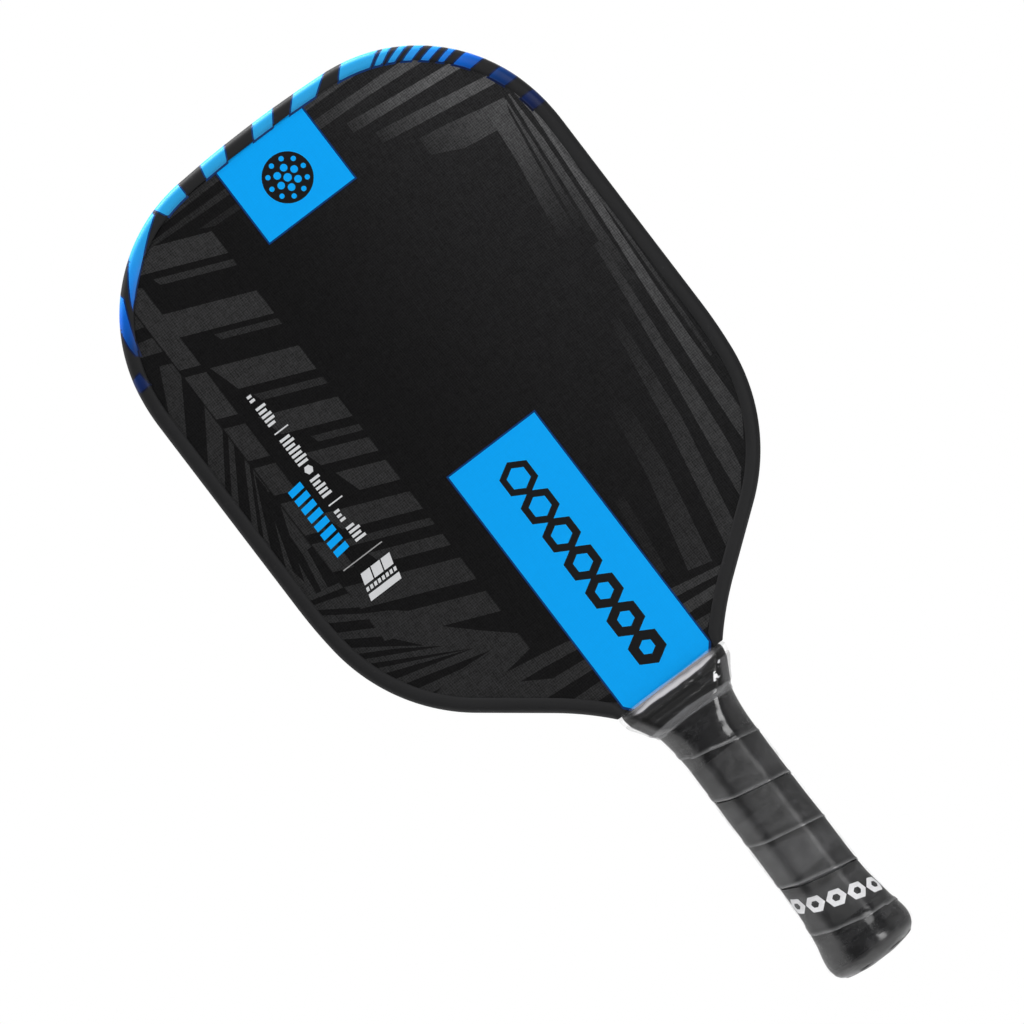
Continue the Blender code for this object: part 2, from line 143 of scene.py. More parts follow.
class Graph:
    """Short names for the nodes of one material. A value is a socket or a number."""

    def __init__(self, name):
        self.mat = bpy.data.materials.new(name)
        self.mat.use_nodes = True
        self.tree = self.mat.node_tree
        self.shader = self.tree.nodes["Principled BSDF"]
        self.coords = self.tree.nodes.new("ShaderNodeTexCoord").outputs["Object"]

    def put(self, kind, **settings):
        node = self.tree.nodes.new(kind)
        for key, value in settings.items():
            setattr(node, key, value)
        return node

    def feed(self, socket, value):
        if isinstance(value, bpy.types.NodeSocket):
            self.tree.links.new(value, socket)
        elif value is not None:
            socket.default_value = value

    def math(self, op, a, b=None):
        node = self.put("ShaderNodeMath", operation=op)
        for socket, value in zip(node.inputs, (a, b)):
            self.feed(socket, value)
        return node.outputs[0]

    def plus(self, total, *others):
        for value in others:
            total = self.math("ADD", total, value)
        return total

    def times(self, product, *others):
        for value in others:
            product = self.math("MULTIPLY", product, value)
        return product

    def minus(self, a, b):
        return self.math("SUBTRACT", a, b)

    def size(self, a):
        return self.math("ABSOLUTE", a)

    def scaled(self, x, y, z):
        """Coordinates in units of 1/x, 1/y and 1/z millimetres."""
        node = self.put("ShaderNodeVectorMath", operation="MULTIPLY")
        self.feed(node.inputs[0], self.coords)
        node.inputs[1].default_value = (x / MM, y / MM, z / MM)
        return node.outputs[0]

    def split(self, vector):
        node = self.put("ShaderNodeSeparateXYZ")
        self.feed(node.inputs[0], vector)
        return node.outputs[0], node.outputs[1], node.outputs[2]

    def place(self):
        """x, y and z in millimetres."""
        return self.split(self.scaled(1.0, 1.0, 1.0))

    def noise(self, per_mm, detail, rough=0.5, distortion=0.0):
        """Noise with so many grains per millimetre: one number, or one each for x, y and z."""
        node = self.put("ShaderNodeTexNoise")
        per_mm = per_mm if isinstance(per_mm, tuple) else (per_mm,) * 3
        self.feed(node.inputs["Vector"], self.scaled(*per_mm))
        for key, value in (("Scale", 1.0), ("Detail", detail), ("Roughness", rough),
        ("Distortion", distortion)):
            node.inputs[key].default_value = value
        return node.outputs[0]

    def pebbles(self, per_mm):
        node = self.put("ShaderNodeTexVoronoi", feature="SMOOTH_F1")
        self.feed(node.inputs["Vector"], self.scaled(1.0, 1.0, 1.0))
        node.inputs["Scale"].default_value = per_mm
        return node.outputs["Distance"]

    def span(self, value, low, high, out_low=0.0, out_high=1.0, kind="LINEAR"):
        node = self.put("ShaderNodeMapRange", interpolation_type=kind)
        self.feed(node.inputs["Value"], value)
        for key, v in (("From Min", low), ("From Max", high), ("To Min", out_low), ("To Max", out_high)):
            node.inputs[key].default_value = v
        return node.outputs[0]

    def mix(self, factor, a, b):
        node = self.put("ShaderNodeMix", data_type="RGBA")
        self.feed(node.inputs["Factor"], factor)
        for socket, value in ((node.inputs[6], a), (node.inputs[7], b)):
            self.feed(socket, (*value, 1.0) if isinstance(value, tuple) else value)
        return node.outputs[2]

    def ramp(self, value, stops):
        node = self.put("ShaderNodeValToRGB")
        self.feed(node.inputs[0], value)
        while len(node.color_ramp.elements) < len(stops):
            node.color_ramp.elements.new(0.5)
        for element, (at, color) in zip(node.color_ramp.elements, stops):
            element.position, element.color = at, (*lin(*color), 1.0)
        return node.outputs[0]

    def attribute(self, name):
        return self.put("ShaderNodeAttribute", attribute_name=name).outputs["Color"]

    def brightness(self, color, factor):
        """A colour times a number near 1."""
        gray = self.put("ShaderNodeCombineXYZ")
        for socket in gray.inputs:
            self.feed(socket, factor)
        node = self.put("ShaderNodeVectorMath", operation="MULTIPLY")
        self.feed(node.inputs[0], color)
        self.feed(node.inputs[1], gray.outputs[0])
        return node.outputs[0]

    def bump(self, height, distance_mm, strength):
        node = self.put("ShaderNodeBump")
        node.inputs["Strength"].default_value = strength
        node.inputs["Distance"].default_value = distance_mm * MM
        self.feed(node.inputs["Height"], height)
        return node.outputs[0]

    def finish(self, color, rough, normal=None, **others):
        """The material. Other inputs of its shader are given by name, with _ for a space."""
        color = (*color, 1.0) if isinstance(color, tuple) else color
        others = {"Base_Color": color, "Roughness": rough, "Normal": normal, **others}
        for key, value in others.items():
            self.feed(self.shader.inputs[key.replace("_", " ")], value)
        return self.mat


WEAVE_PITCH = 0.95
THREADS = (1.3, 2.9)  # from the thinnest to the thickest place of the weave, as its sum


def weave(g):
    """Peel-ply weave of the faces in the XZ plane: a fine over-and-under lattice whose threads differ."""
    x, _, z = g.place()
    wobble = g.noise(0.05, 2.0)
    sx = g.math("SINE", g.times(g.plus(x, g.times(wobble, 0.9)), math.pi / WEAVE_PITCH))
    sz = g.math("SINE", g.times(g.plus(z, g.times(wobble, 0.7)), math.pi / WEAVE_PITCH))
    over = g.math("GREATER_THAN", g.times(sx, sz), 0.0)
    lattice = g.plus(g.times(over, g.size(sx)), g.times(g.minus(1.0, over), g.size(sz)))
    upright = g.noise((1.3, 0.1, 0.22), 1.0)
    level = g.noise((0.22, 0.1, 1.3), 1.0)
    slubs = g.noise((1.5, 0.1, 1.2), 3.0)
    threads = g.plus(g.times(upright, 0.85), g.times(level, 0.7), g.times(lattice, 0.9), g.times(slubs, 1.5))
    return threads, slubs


def laminate_material():
    """The dark printed laminate, coloured by the ink attribute."""
    g = Graph("face_laminate_print")
    threads, _ = weave(g)
    # painted sheen: each face is made paler towards its upper right, where the light glances off the weave
    x, y, z = g.place()
    side = g.times(x, g.times(g.math("SIGN", y), -1.0))
    paler = g.times(g.span(side, -40.0, 90.0, 0.0, 1.0, EASE), g.span(z, 180.0, 400.0, 0.55, 2.6))
    factor = g.times(g.span(threads, *THREADS, 0.32, 1.68), g.plus(1.0, paler))
    color = g.brightness(g.attribute("ink"), factor)
    rough = g.span(threads, *THREADS, 0.62, 0.46)
    return g.finish(color, rough, g.bump(threads, 0.08, 0.7), Specular_IOR_Level=0.06)


def opaque_ink_material():
    """Smoother opaque ink over the laminate, coloured by the same attribute."""
    g = Graph("face_opaque_ink")
    threads, slubs = weave(g)
    color = g.brightness(g.attribute("ink"), g.span(threads, *THREADS, 0.965, 1.035))
    relief = g.bump(g.times(threads, 0.3), 0.05, 0.3)
    return g.finish(color, g.span(slubs, 0.3, 0.7, 0.50, 0.56), relief, Specular_IOR_Level=0.08)


def guard_material():
    """Satin black plastic with faint drawn lines and pale scuffs."""
    g = Graph("guard_tpu")
    fine = g.noise(1.6, 3.0, 0.6)
    drawn = g.noise((0.04, 0.3, 0.04), 3.0)
    scuff = g.noise(0.35, 5.0, 0.65)
    tone = g.plus(g.times(fine, 0.5), g.times(drawn, 0.5))
    color = g.mix(g.span(tone, 0.35, 0.65), lin(28, 28, 29), lin(32, 32, 33))
    color = g.mix(g.span(scuff, 0.62, 0.78), color, lin(48, 48, 49))
    rough = g.plus(g.span(drawn, 0.3, 0.7, 0.50, 0.58), g.span(scuff, 0.5, 0.75, 0.0, 0.1))
    return g.finish(color, rough, g.bump(fine, 0.03, 0.5), Specular_IOR_Level=0.15)


# (share of the way up from the lowest patch to the crown, colour)
RIM_BLUES = (
    (0.0, (14, 22, 56)), (0.2, (13, 34, 82)), (0.38, (8, 48, 104)),
    (0.62, (8, 90, 190)), (0.8, (30, 134, 224)), (1.0, (36, 152, 212)),
)
RIM_NAVIES = ((0.0, (12, 15, 34)), (0.6, (6, 26, 70)), (1.0, (2, 50, 108)))


def rim_ink_material(name, stops):
    """The ink on the guard, bright at the crown and navy down the sides."""
    g = Graph(name)
    fine = g.noise(1.8, 2.0)
    color = g.ramp(g.span(g.place()[2], 344.0, 400.0), stops)
    color = g.brightness(color, g.span(fine, 0.3, 0.7, 0.96, 1.04))
    rough = g.span(fine, 0.3, 0.7, 0.34, 0.42)
    return g.finish(color, rough, g.bump(fine, 0.015, 0.4), Specular_IOR_Level=0.2)


def grip_material():
    """Synthetic leather under a glossy skin: pebbles, blotches, a painted highlight along each turn's raised
    lower edge, painted shade beside the seams.
    """
    g = Graph("grip_polyurethane")
    grain = g.pebbles(1.7)
    soft = g.noise((0.05, 0.05, 0.11), 3.0, 0.55)
    lines = g.noise((0.2, 0.2, 1.3), 3.0)
    dents = g.noise((0.09, 0.09, 0.13), 1.5)
    edge, shade, _ = g.split(g.attribute("lap"))
    tone = g.plus(g.times(soft, 0.8), g.times(grain, 0.12), g.times(lines, 0.1))
    color = g.mix(g.span(tone, 0.35, 0.75), lin(17, 17, 18), lin(32, 32, 33))
    # painted shade: darker for a few millimetres below each seam, under the turn that overlaps it
    color = g.brightness(color, g.span(shade, 0.0, 1.0, 1.0, 0.6))
    # painted highlight: a pale line along each turn's raised lower edge, where light from above catches the
    # lap
    color = g.mix(g.times(edge, g.span(soft, 0.35, 0.6, 0.5, 1.0)), color, lin(120, 120, 121))
    fine = g.plus(g.times(grain, -0.6), g.times(lines, 0.5))
    # the skin is hazy along the middle, and glossy at the collar, at the butt and on the raised laps
    z = g.place()[2]
    hazy = g.minus(g.times(g.span(z, 19.5, 22.5), g.span(z, 104.0, 102.0), 0.40), g.times(edge, 0.3))
    return g.finish(
        color, g.span(tone, 0.35, 0.75, 0.50, 0.42), g.bump(fine, 0.04, 0.3),
        Specular_IOR_Level=0.08, Coat_Weight=1.0,
        Coat_Roughness=g.math("MAXIMUM", hazy, g.span(z, 6.0, 10.0, 0.34, 0.15)),
        Coat_Normal=g.bump(dents, 1.2, 0.5),
    )


def moulded_material(name, low, high, rough):
    """For the pieces that the others hide: moulded plastic or foam, from a dark tone to a light one."""
    g = Graph(name)
    fine = g.noise(1.5, 4.0, 0.6)
    soft = g.noise(0.12, 3.0)
    color = g.mix(g.span(g.plus(fine, soft), 0.8, 1.25), low, high)
    rough = g.span(fine, 0.3, 0.7, rough - 0.06, rough + 0.06)
    return g.finish(color, rough, g.bump(fine, 0.04, 0.5), Specular_IOR_Level=0.5)


def collar_material():
    """Black rubber under the glossy film."""
    g = Graph("collar_rubber_ribbed")
    fine = g.noise(1.5, 4.0, 0.6)
    dents = g.noise((0.16, 0.16, 0.3), 2.0)
    color = g.mix(g.span(fine, 0.35, 0.65), lin(12, 12, 12), lin(18, 18, 18))
    return g.finish(
        color, 0.5, g.bump(fine, 0.04, 0.5), Specular_IOR_Level=0.1,
        Coat_Weight=0.5, Coat_Roughness=0.12, Coat_Normal=g.bump(dents, 1.0, 0.5),
    )


def film_material(name, tint, frayed=False):
    """Clear film: it shows by its creases, by haze down the handle and where it bunches at the collar, with a
    painted reflection round the collar's lip and painted highlights up its corner.
    """
    g = Graph(name)
    x, y, z = g.place()
    wide = g.size(x)
    creases = g.noise((0.05, 0.05, 0.12), 3.0, 0.6, 0.6)
    ridge = g.span(g.size(g.minus(creases, 0.5)), 0.0, 1 / 26, 1.0, 0.0)
    sway = g.times(g.minus(g.noise((0.055, 0.03, 0.02), 2.0), 0.5), 4.0)
    if frayed:
        level = g.plus(z, sway)
        sagged = g.minus(level, g.times(wide, wide, 0.0032))
        low, high = g.span(sagged, 132.9, 133.8, 0.0, 1.0, EASE), g.span(level, 136.0, 134.4, 0.35, 1.0, EASE)
        arc_on = g.times(low, high)
        front = g.span(wide, 21.0, 16.5, 0.30, 0.74, EASE)
        alpha = g.plus(0.03, g.times(arc_on, front), g.times(ridge, 0.06))
        tint = g.mix(g.span(wide, 17.5, 20.5), tint, lin(112, 112, 114))
        rough = 0.12
    else:
        haze = g.noise((0.02, 0.03, 0.095), 2.5)
        # the haze is thinned beside the seams, so that the painted shade there stays dark
        clear_of_seam_shade = g.split(g.attribute("lap"))[0]
        middle = g.times(g.span(z, 22.0, 44.0, 0.0, 1.0, EASE), g.span(z, 104.0, 84.0, 0.0, 1.0, EASE))
        veil = g.times(g.span(haze, 0.42, 0.60, 0.01, 0.13, EASE), g.times(middle, clear_of_seam_shade))
        # painted reflection: a pale band round the collar's lower lip, arched on the front, where the film
        # reflects the light off the rolled lip
        across = g.plus(x, 3.0)
        arched = g.plus(z, g.times(sway, 0.3), g.times(across, across, 0.0045))
        low = g.span(arched, 120.9, 121.5, 0.0, 1.0, EASE)
        high = g.span(arched, 125.2, 124.5, 0.0, 0.42, EASE)
        lip = g.times(low, high)
        outer = g.minus(wide, g.times(g.minus(z, 122.0), 0.5))
        patchy = g.times(g.span(z, 121.0, 123.0), g.span(haze, 0.35, 0.6, 0.5, 1.0))
        flank = g.times(g.span(outer, 14.0, 16.5, 0.0, 0.30, EASE), patchy)
        # painted highlights: white glints up the collar's corner, on the right of each face, where light
        # catches the crumpled film
        turned = g.times(x, g.math("SIGN", g.times(y, -1.0)))
        corner = g.size(g.minus(turned, g.plus(g.times(g.minus(z, 126.0), 0.72), 14.4)))
        glint_noise = g.noise((0.16, 0.16, 0.34), 2.5, 0.6)
        painted_glints = g.times(
            g.span(glint_noise, 0.49, 0.53, 0.0, 0.85, EASE), g.span(corner, 2.2, 1.2, 0.0, 1.0, EASE),
            g.times(g.span(z, 125.4, 126.4), g.span(z, 134.6, 133.6)),
        )
        tint = g.mix(g.span(painted_glints, 0.1, 0.4), tint, lin(226, 226, 228))
        alpha = g.plus(0.02, veil, lip, flank, painted_glints, g.times(ridge, 0.07))
        rough = g.times(g.span(z, 19.0, 22.0, 0.35, 1.0), g.span(z, 104.0, 98.0, 0.35, 1.0), 0.4)
    return g.finish(tint, rough, g.bump(creases, 0.5, 0.4), Alpha=alpha, Specular_IOR_Level=0.9, IOR=1.6)


def grip_ink_material():
    """White ink, slightly worn."""
    g = Graph("grip_print_ink")
    fine = g.noise(1.5, 3.0)
    wear = g.noise(0.5, 4.0, 0.7)
    color = g.mix(g.span(wear, 0.62, 0.7, 0.0, 0.35), lin(222, 222, 224), lin(150, 150, 152))
    return g.finish(color, 0.4, g.bump(fine, 0.05, 0.4), Specular_IOR_Level=0.4)


# ---------------------------------------------------------------- outline, the CAD's curve with finer steps
SIDE_TOP_Z, SIDE_BOTTOM_Z = 336.5, 246.8  # between them the side is straight
SHOULDER_R, CORNER_R, CROWN_R = 83.4, 68.3, 481.0
SHOULDER_END, CORNER_END = math.radians(11.4), math.radians(85.7)
HIP_R, FLANK_R, FLANK_RUN, THROAT_R = 203.4, 77.6, 30.0, 132.0
HIP_END, FLANK_END = -math.radians(6.0), -math.radians(52.5)
PANEL_INSET, TANG_HALF, NECK_R = 2.0, 9.8, 30.0


def arc(x, z, radius, start, end, steps, turn):
    """Points with normals on an arc from (x, z), between two directions of its normal. turn -1: hollow."""
    out = []
    for i in range(1, steps + 1):
        t = start + (end - start) * i / steps
        px = x + turn * radius * (math.cos(t) - math.cos(start))
        pz = z + turn * radius * (math.sin(t) - math.sin(start))
        out.append((px, pz, math.cos(t), math.sin(t)))
    return out


def right_outline(fine):
    """From the crown down the right side to the guard's end: x, z and the outward normal."""
    up = [(HALF_WIDTH, SIDE_TOP_Z, 1.0, 0.0)]
    up += arc(*up[-1][:2], SHOULDER_R, 0.0, SHOULDER_END, 3 * fine, 1)
    up += arc(*up[-1][:2], CORNER_R, SHOULDER_END, CORNER_END, 18 * fine, 1)
    up += arc(*up[-1][:2], CROWN_R, CORNER_END, math.pi / 2, 5 * fine, 1)
    up[-1] = (0.0, up[-1][1], 0.0, 1.0)
    steps = 6 * fine
    down = [(HALF_WIDTH, lerp(SIDE_TOP_Z, SIDE_BOTTOM_Z, i / steps), 1.0, 0.0) for i in range(1, steps + 1)]
    down += arc(*down[-1][:2], HIP_R, 0.0, HIP_END, 2 * fine, 1)
    down += arc(*down[-1][:2], FLANK_R, HIP_END, FLANK_END, 13 * fine, 1)
    x, z, n, m = down[-1]
    steps = 3 * fine
    for run in [FLANK_RUN * i / steps for i in range(1, steps + 1)]:
        down.append((x + m * run, z - n * run, n, m))
    x, z = down[-1][:2]
    end = -math.asin(math.sin(-FLANK_END) - (z - GUARD_END_Z) / THROAT_R)
    down += arc(x, z, THROAT_R, FLANK_END, end, 4 * fine, -1)
    return up[::-1] + down


RIGHT = right_outline(3)
PATH = [(-x, z, -n, m) for x, z, n, m in reversed(RIGHT[1:])] + RIGHT
RUN = [0.0]
for a, b in zip(PATH, PATH[1:]):
    RUN.append(RUN[-1] + math.dist(a[:2], b[:2]))
MIDDLE = RUN[len(RUN) // 2]
RUN = [r - MIDDLE for r in RUN]


def along(u):
    """Outline point and normal at arc length u from the crown, right positive."""
    u = min(max(u, RUN[0]), RUN[-1])
    low, high = 0, len(RUN) - 1
    while high - low > 1:
        mid = (low + high) // 2
        low, high = (mid, high) if RUN[mid] <= u else (low, mid)
    t = (u - RUN[low]) / (RUN[high] - RUN[low])
    x, z, n, m = (lerp(a, b, t) for a, b in zip(PATH[low], PATH[high]))
    size = math.hypot(n, m)
    return x, z, n / size, m / size


def project(x, z):
    """(arc length, distance inwards) of a point near the outline."""
    found = []
    for i, ((ax, az, n, m), (bx, bz, *_)) in enumerate(zip(PATH, PATH[1:])):
        dx, dz = bx - ax, bz - az
        t = min(max(((x - ax) * dx + (z - az) * dz) / (dx * dx + dz * dz), 0.0), 1.0)
        px, pz = x - ax - dx * t, z - az - dz * t
        found.append((math.hypot(px, pz), lerp(RUN[i], RUN[i + 1], t), -(px * n + pz * m)))
    return min(found, key=lambda one: one[0])[1:]


# ---------------------------------------------------------------- the print on a face
BLACK = lin(15, 15, 15.5)
BLUE = lin(0, 155, 234)
NAVY = lin(4, 50, 104)
WHITE = lin(200, 201, 203)
INK_BLACK = lin(20, 20, 21)
INKS = []  # (points, colour, kind, fade), each over the ones before it


def grey(v):
    return lin(v + 0.5, v + 0.5, v + 1)


def ink(points, color, kind=0, fade=None):
    """kind 0: the laminate's own material, 1: opaque ink. fade: ((x, z), (x, z), the colour there)."""
    INKS.append((points, color, kind, fade))


def outlined(points, color, wide=0.7):
    """An opaque shape with a navy rim."""
    cx, cz = (sum(p[k] for p in points) / len(points) for k in (0, 1))
    around = [(x + math.copysign(wide, x - cx), z + math.copysign(wide, z - cz)) for x, z in points]
    ink(around, NAVY, 1)
    ink(points, color, 1)


def disc(x, z, r, color, count, turn=0.0):
    """A disc, or a regular shape with count corners."""
    angles = [turn + math.tau * i / count for i in range(count)]
    ink([(x + r * math.cos(a), z + r * math.sin(a)) for a in angles], color, 1)


def band(rows, color, fade=None):
    """A streak through rows of (z, left x, right x)."""
    ink([(x, z) for z, x, _ in rows] + [(x, z) for z, _, x in reversed(rows)], color, 0, fade)


def column_bars():
    """Left of the middle: slanted bars between two upright lines, with dark gaps between them."""
    slope = -0.42
    left, inner, right = -79.5, -69.3, -36.3
    for top, thick, start, v in (
        (384.6, 10.6, left, 43), (371.0, 3.0, -66.0, 38), (355.6, 11.2, -75.0, 42), (342.0, 2.8, -60.0, 36),
        (328.6, 11.5, inner, 41), (313.2, 3.2, -62.0, 36), (303.5, 9.6, -66.0, 40), (290.0, 3.0, -54.0, 36),
        (283.6, 6.6, -60.0, 39), (272.4, 9.6, -55.0, 40), (257.0, 8.6, inner, 39), (244.0, 3.2, -70.0, 36),
        (236.0, 5.4, -64.0, 38), (224.5, 10.6, left, 37), (208.0, 9.8, left, 37),
    ):
        rise = slope * (right - start)
        cut = 0.35 * thick if start > left else 0.0
        low = (start + cut, top - rise - thick + slope * cut)
        ink([(start, top - rise), (right, top), (right, top - thick), low], grey(v))
    for top, low, v in (
        (387.0, 349.0, 41), (345.6, 325.0, 41), (320.4, 304.5, 39), (301.0, 287.6, 38), (283.6, 268.0, 38),
        (263.6, 250.0, 38),
    ):
        ink([(left, top), (-71.4, top - 3.4), (-71.4, low - 3.4), (left, low)], grey(v))


def left_leaves():
    """Along the left edge: dark leaves that rise to the column, and a fan of blades below, on grey."""
    ink([
        (-94.5, 352.0), (-90.5, 366.0), (-84.0, 379.0), (-80.0, 381.0), (-80.0, 246.0), (-79.4, 232.0),
        (-36.3, 196.0), (-36.3, 179.0), (-20.8, 172.0), (-20.8, 136.0), (-60.0, 120.0), (-110.0, 200.0),
        (-110.0, 300.0),
    ], grey(37))
    for points in (
        [(-86.4, 372.6), (-80.0, 370.8), (-80.0, 365.6), (-87.2, 367.4)],
        [(-90.0, 362.6), (-80.0, 358.8), (-80.0, 353.0), (-84.6, 355.0), (-93.6, 336.6), (-93.4, 350.0)],
        [(-93.6, 325.4), (-80.0, 347.0), (-80.0, 332.0), (-93.6, 311.6)],
        [(-93.6, 300.6), (-80.0, 320.4), (-80.0, 316.8), (-93.6, 296.4)],
        [(-93.6, 291.6), (-80.0, 313.0), (-80.0, 306.4), (-93.6, 283.4)],
        [(-93.6, 279.0), (-80.0, 303.0), (-80.0, 300.8), (-93.6, 275.6)],
        [(-93.6, 271.0), (-80.6, 299.0), (-80.2, 291.6), (-93.2, 262.0)],
        [(-91.6, 259.4), (-82.0, 291.0), (-80.0, 290.0), (-80.0, 283.0), (-90.6, 253.6)],
        [(-89.6, 247.2), (-86.2, 274.0), (-83.4, 284.0), (-84.6, 262.0), (-87.4, 246.8)],
        [(-84.6, 246.4), (-82.0, 263.0), (-80.0, 263.0), (-80.0, 245.2)],
        [(-93.6, 246.6), (-79.5, 242.6), (-79.5, 239.8), (-93.6, 244.4)],
        [(-93.6, 242.2), (-79.5, 232.8), (-60.0, 223.6), (-36.3, 214.0), (-36.3, 208.4), (-60.0, 218.4),
            (-79.5, 229.8), (-93.2, 239.2)],
        [(-93.6, 235.6), (-79.2, 226.8), (-79.2, 222.6), (-92.6, 230.2)],
        [(-93.0, 227.2), (-79.0, 218.2), (-68.4, 205.6), (-80.0, 214.0), (-92.6, 222.8)],
        [(-92.2, 219.4), (-78.0, 211.4), (-61.6, 200.4), (-91.6, 216.2)],
        [(-90.2, 213.2), (-52.8, 192.6), (-89.6, 210.2)],
        [(-87.6, 206.4), (-53.4, 193.0), (-86.2, 202.2)],
        [(-84.6, 198.6), (-48.8, 188.4), (-62.0, 189.4), (-82.6, 194.2)],
        [(-78.2, 189.2), (-72.6, 188.4), (-77.6, 187.8)],
        [(-58.4, 207.6), (-36.3, 198.4), (-36.3, 187.2), (-48.0, 197.6)],
        [(-36.3, 214.0), (-20.8, 214.0), (-20.8, 184.6), (-36.3, 187.4)],
        [(-36.3, 183.4), (-20.8, 181.6), (-20.8, 180.2), (-36.3, 181.8)],
        [(-49.6, 177.9), (-36.3, 179.6), (-20.8, 178.0), (-20.8, 172.6), (-36.3, 175.6)],
        [(-47.0, 171.6), (-36.3, 170.4), (-20.8, 168.0), (-20.8, 163.2), (-36.3, 165.0)],
        [(-43.6, 160.2), (-36.3, 159.6), (-20.8, 158.2), (-20.8, 152.8), (-35.0, 153.6)],
        [(-28.4, 147.2), (-20.8, 146.6), (-20.8, 141.4)],
    ):
        ink(points, BLACK)


def crown_bands():
    """Near-level streaks under the crown, paler towards the right."""
    for points, low, high, x0, x1 in (
        ([(21.4, 402.4), (34.0, 402.2), (44.0, 401.0), (50.0, 399.0), (40.0, 399.2),
            (21.4, 399.6)], 32, 36, 21, 46),
        ([(21.4, 394.8), (45.0, 393.6), (67.5, 392.4), (73.8, 387.0), (45.0, 389.6),
            (21.4, 390.6)], 26, 38, 21, 60),
        ([(31.0, 386.3), (50.0, 383.8), (77.0, 380.6), (80.0, 376.4), (50.0, 379.6),
            (31.0, 381.6)], 22, 44, 31, 60),
        ([(38.0, 376.6), (62.0, 372.4), (86.6, 367.8), (88.6, 363.2), (62.0, 367.4),
            (38.0, 371.4)], 20, 40, 38, 72),
        ([(50.0, 364.4), (62.0, 362.3), (78.0, 358.6), (86.4, 357.0), (84.4, 351.6), (77.8, 348.2),
            (62.0, 350.6), (50.0, 356.4)], 20, 35, 50, 80),
    ):
        ink(points, grey(low), 0, ((x0, 0), (x1, 0), grey(high)))
    for points, v in (
        ([(-54.5, 400.4), (-22.0, 401.9), (-22.0, 398.6), (-57.0, 398.2)], 36),
        ([(-59.0, 395.6), (-22.0, 394.8), (-22.0, 391.8), (-60.0, 393.8)], 32),
        ([(-40.0, 388.4), (-22.0, 387.4), (-22.0, 384.8), (-34.0, 385.4)], 27),
    ):
        ink(points, grey(v))


def edge_streaks():
    """Right of the middle: streaks that lean in on their way down, and fade where the list says."""
    for rows, color, fade in (
        (((356.0, 77.0, 85.0), (335.0, 75.2, 81.8), (318.0, 72.6, 79.2),
            (298.0, 69.6, 77.0)), BLACK, (298, 345, 35)),
        (((356.0, 85.8, 86.3), (335.0, 83.0, 84.7), (318.0, 80.7, 83.0),
            (298.0, 78.0, 81.2)), BLACK, (298, 345, 36)),
        (((357.0, 88.1, 88.8), (335.0, 86.0, 88.8), (315.0, 84.2, 87.4), (295.0, 82.2, 86.0),
            (262.0, 79.8, 84.2)), BLACK, (262, 335, 37)),
        (((357.0, 90.4, 91.0), (345.0, 91.2, 93.3), (330.0, 90.4, 93.3), (310.0, 89.0, 92.3),
            (290.0, 87.4, 90.6), (265.0, 85.0, 88.9), (240.0, 82.9, 87.5), (222.0, 81.2, 86.9),
            (203.5, 80.0, 86.1), (194.0, 79.4, 79.5)), grey(35), (203, 330, 44)),
        (((290.0, 79.2, 82.4), (262.0, 76.2, 80.0), (240.0, 73.5, 78.0), (215.0, 70.0, 76.2),
            (195.0, 67.2, 74.1), (186.0, 66.2, 72.3), (177.0, 65.1, 65.2)), grey(35), (225, 290, 22)),
        (((262.0, 66.0, 70.0), (240.0, 62.8, 68.0), (215.0, 58.9, 65.6), (190.0, 54.0, 60.8),
            (171.0, 50.2, 57.2), (163.8, 48.7, 48.8)), grey(34), (190, 262, 17)),
        (((234.0, 45.4, 52.4), (205.0, 41.0, 49.4), (185.0, 36.0, 45.4), (166.4, 31.4, 41.7),
            (163.7, 41.0, 41.2)), grey(32), (172, 234, 16)),
        (((205.0, 25.0, 29.0), (185.0, 22.6, 26.8), (172.0, 21.3, 24.8)), grey(24), (172, 205, 20)),
        (((335.0, 92.0, 92.6), (290.0, 91.6, 92.9), (245.0, 89.6, 91.4), (228.0, 89.0, 90.2)), grey(26),
            (228, 335, 34)),
    ):
        low, high, v = fade
        band(rows, color, ((0, low), (0, high), grey(v)))
    for points, v in (
        ([(21.3, 165.0), (43.6, 160.4), (41.4, 157.8), (21.3, 161.2)], 40),
        ([(21.3, 157.4), (37.0, 155.8), (33.6, 152.0), (21.3, 153.0)], 42),
        ([(21.3, 149.2), (29.0, 148.0), (24.2, 144.4), (21.3, 144.4)], 38),
    ):
        ink(points, grey(v))


def emblems():
    """The blue square with a perforated ball, and the blue label with a chain of hexagons."""
    outlined([(-21.0, 367.4), (20.7, 367.4), (20.7, 402.6), (-21.0, 402.6)], BLUE)
    bx, bz = 0.0, 383.4
    disc(bx, bz, 10.2, INK_BLACK, 56)
    for r, count, start, size in ((0.0, 1, 0.0, 1.65), (4.1, 6, 0.26, 1.5), (7.7, 10, 0.0, 1.05)):
        for k in range(count):
            a = start + math.tau * k / count
            disc(bx + r * math.cos(a), bz + r * math.sin(a), size, BLUE, 18)
    label = [(-21.0, 252.0), (-21.0, 139.6), (-18.0, 135.9), (18.0, 135.9), (21.0, 139.6), (21.0, 252.0)]
    outlined(label, BLUE)
    for k in range(7):
        z = 152.4 + 13.8 * k
        disc(0.6, z, 7.7, INK_BLACK, 6, math.pi / 2)
        disc(0.6, z, 3.2 + 0.26 * k, BLUE, 6, math.pi / 2)


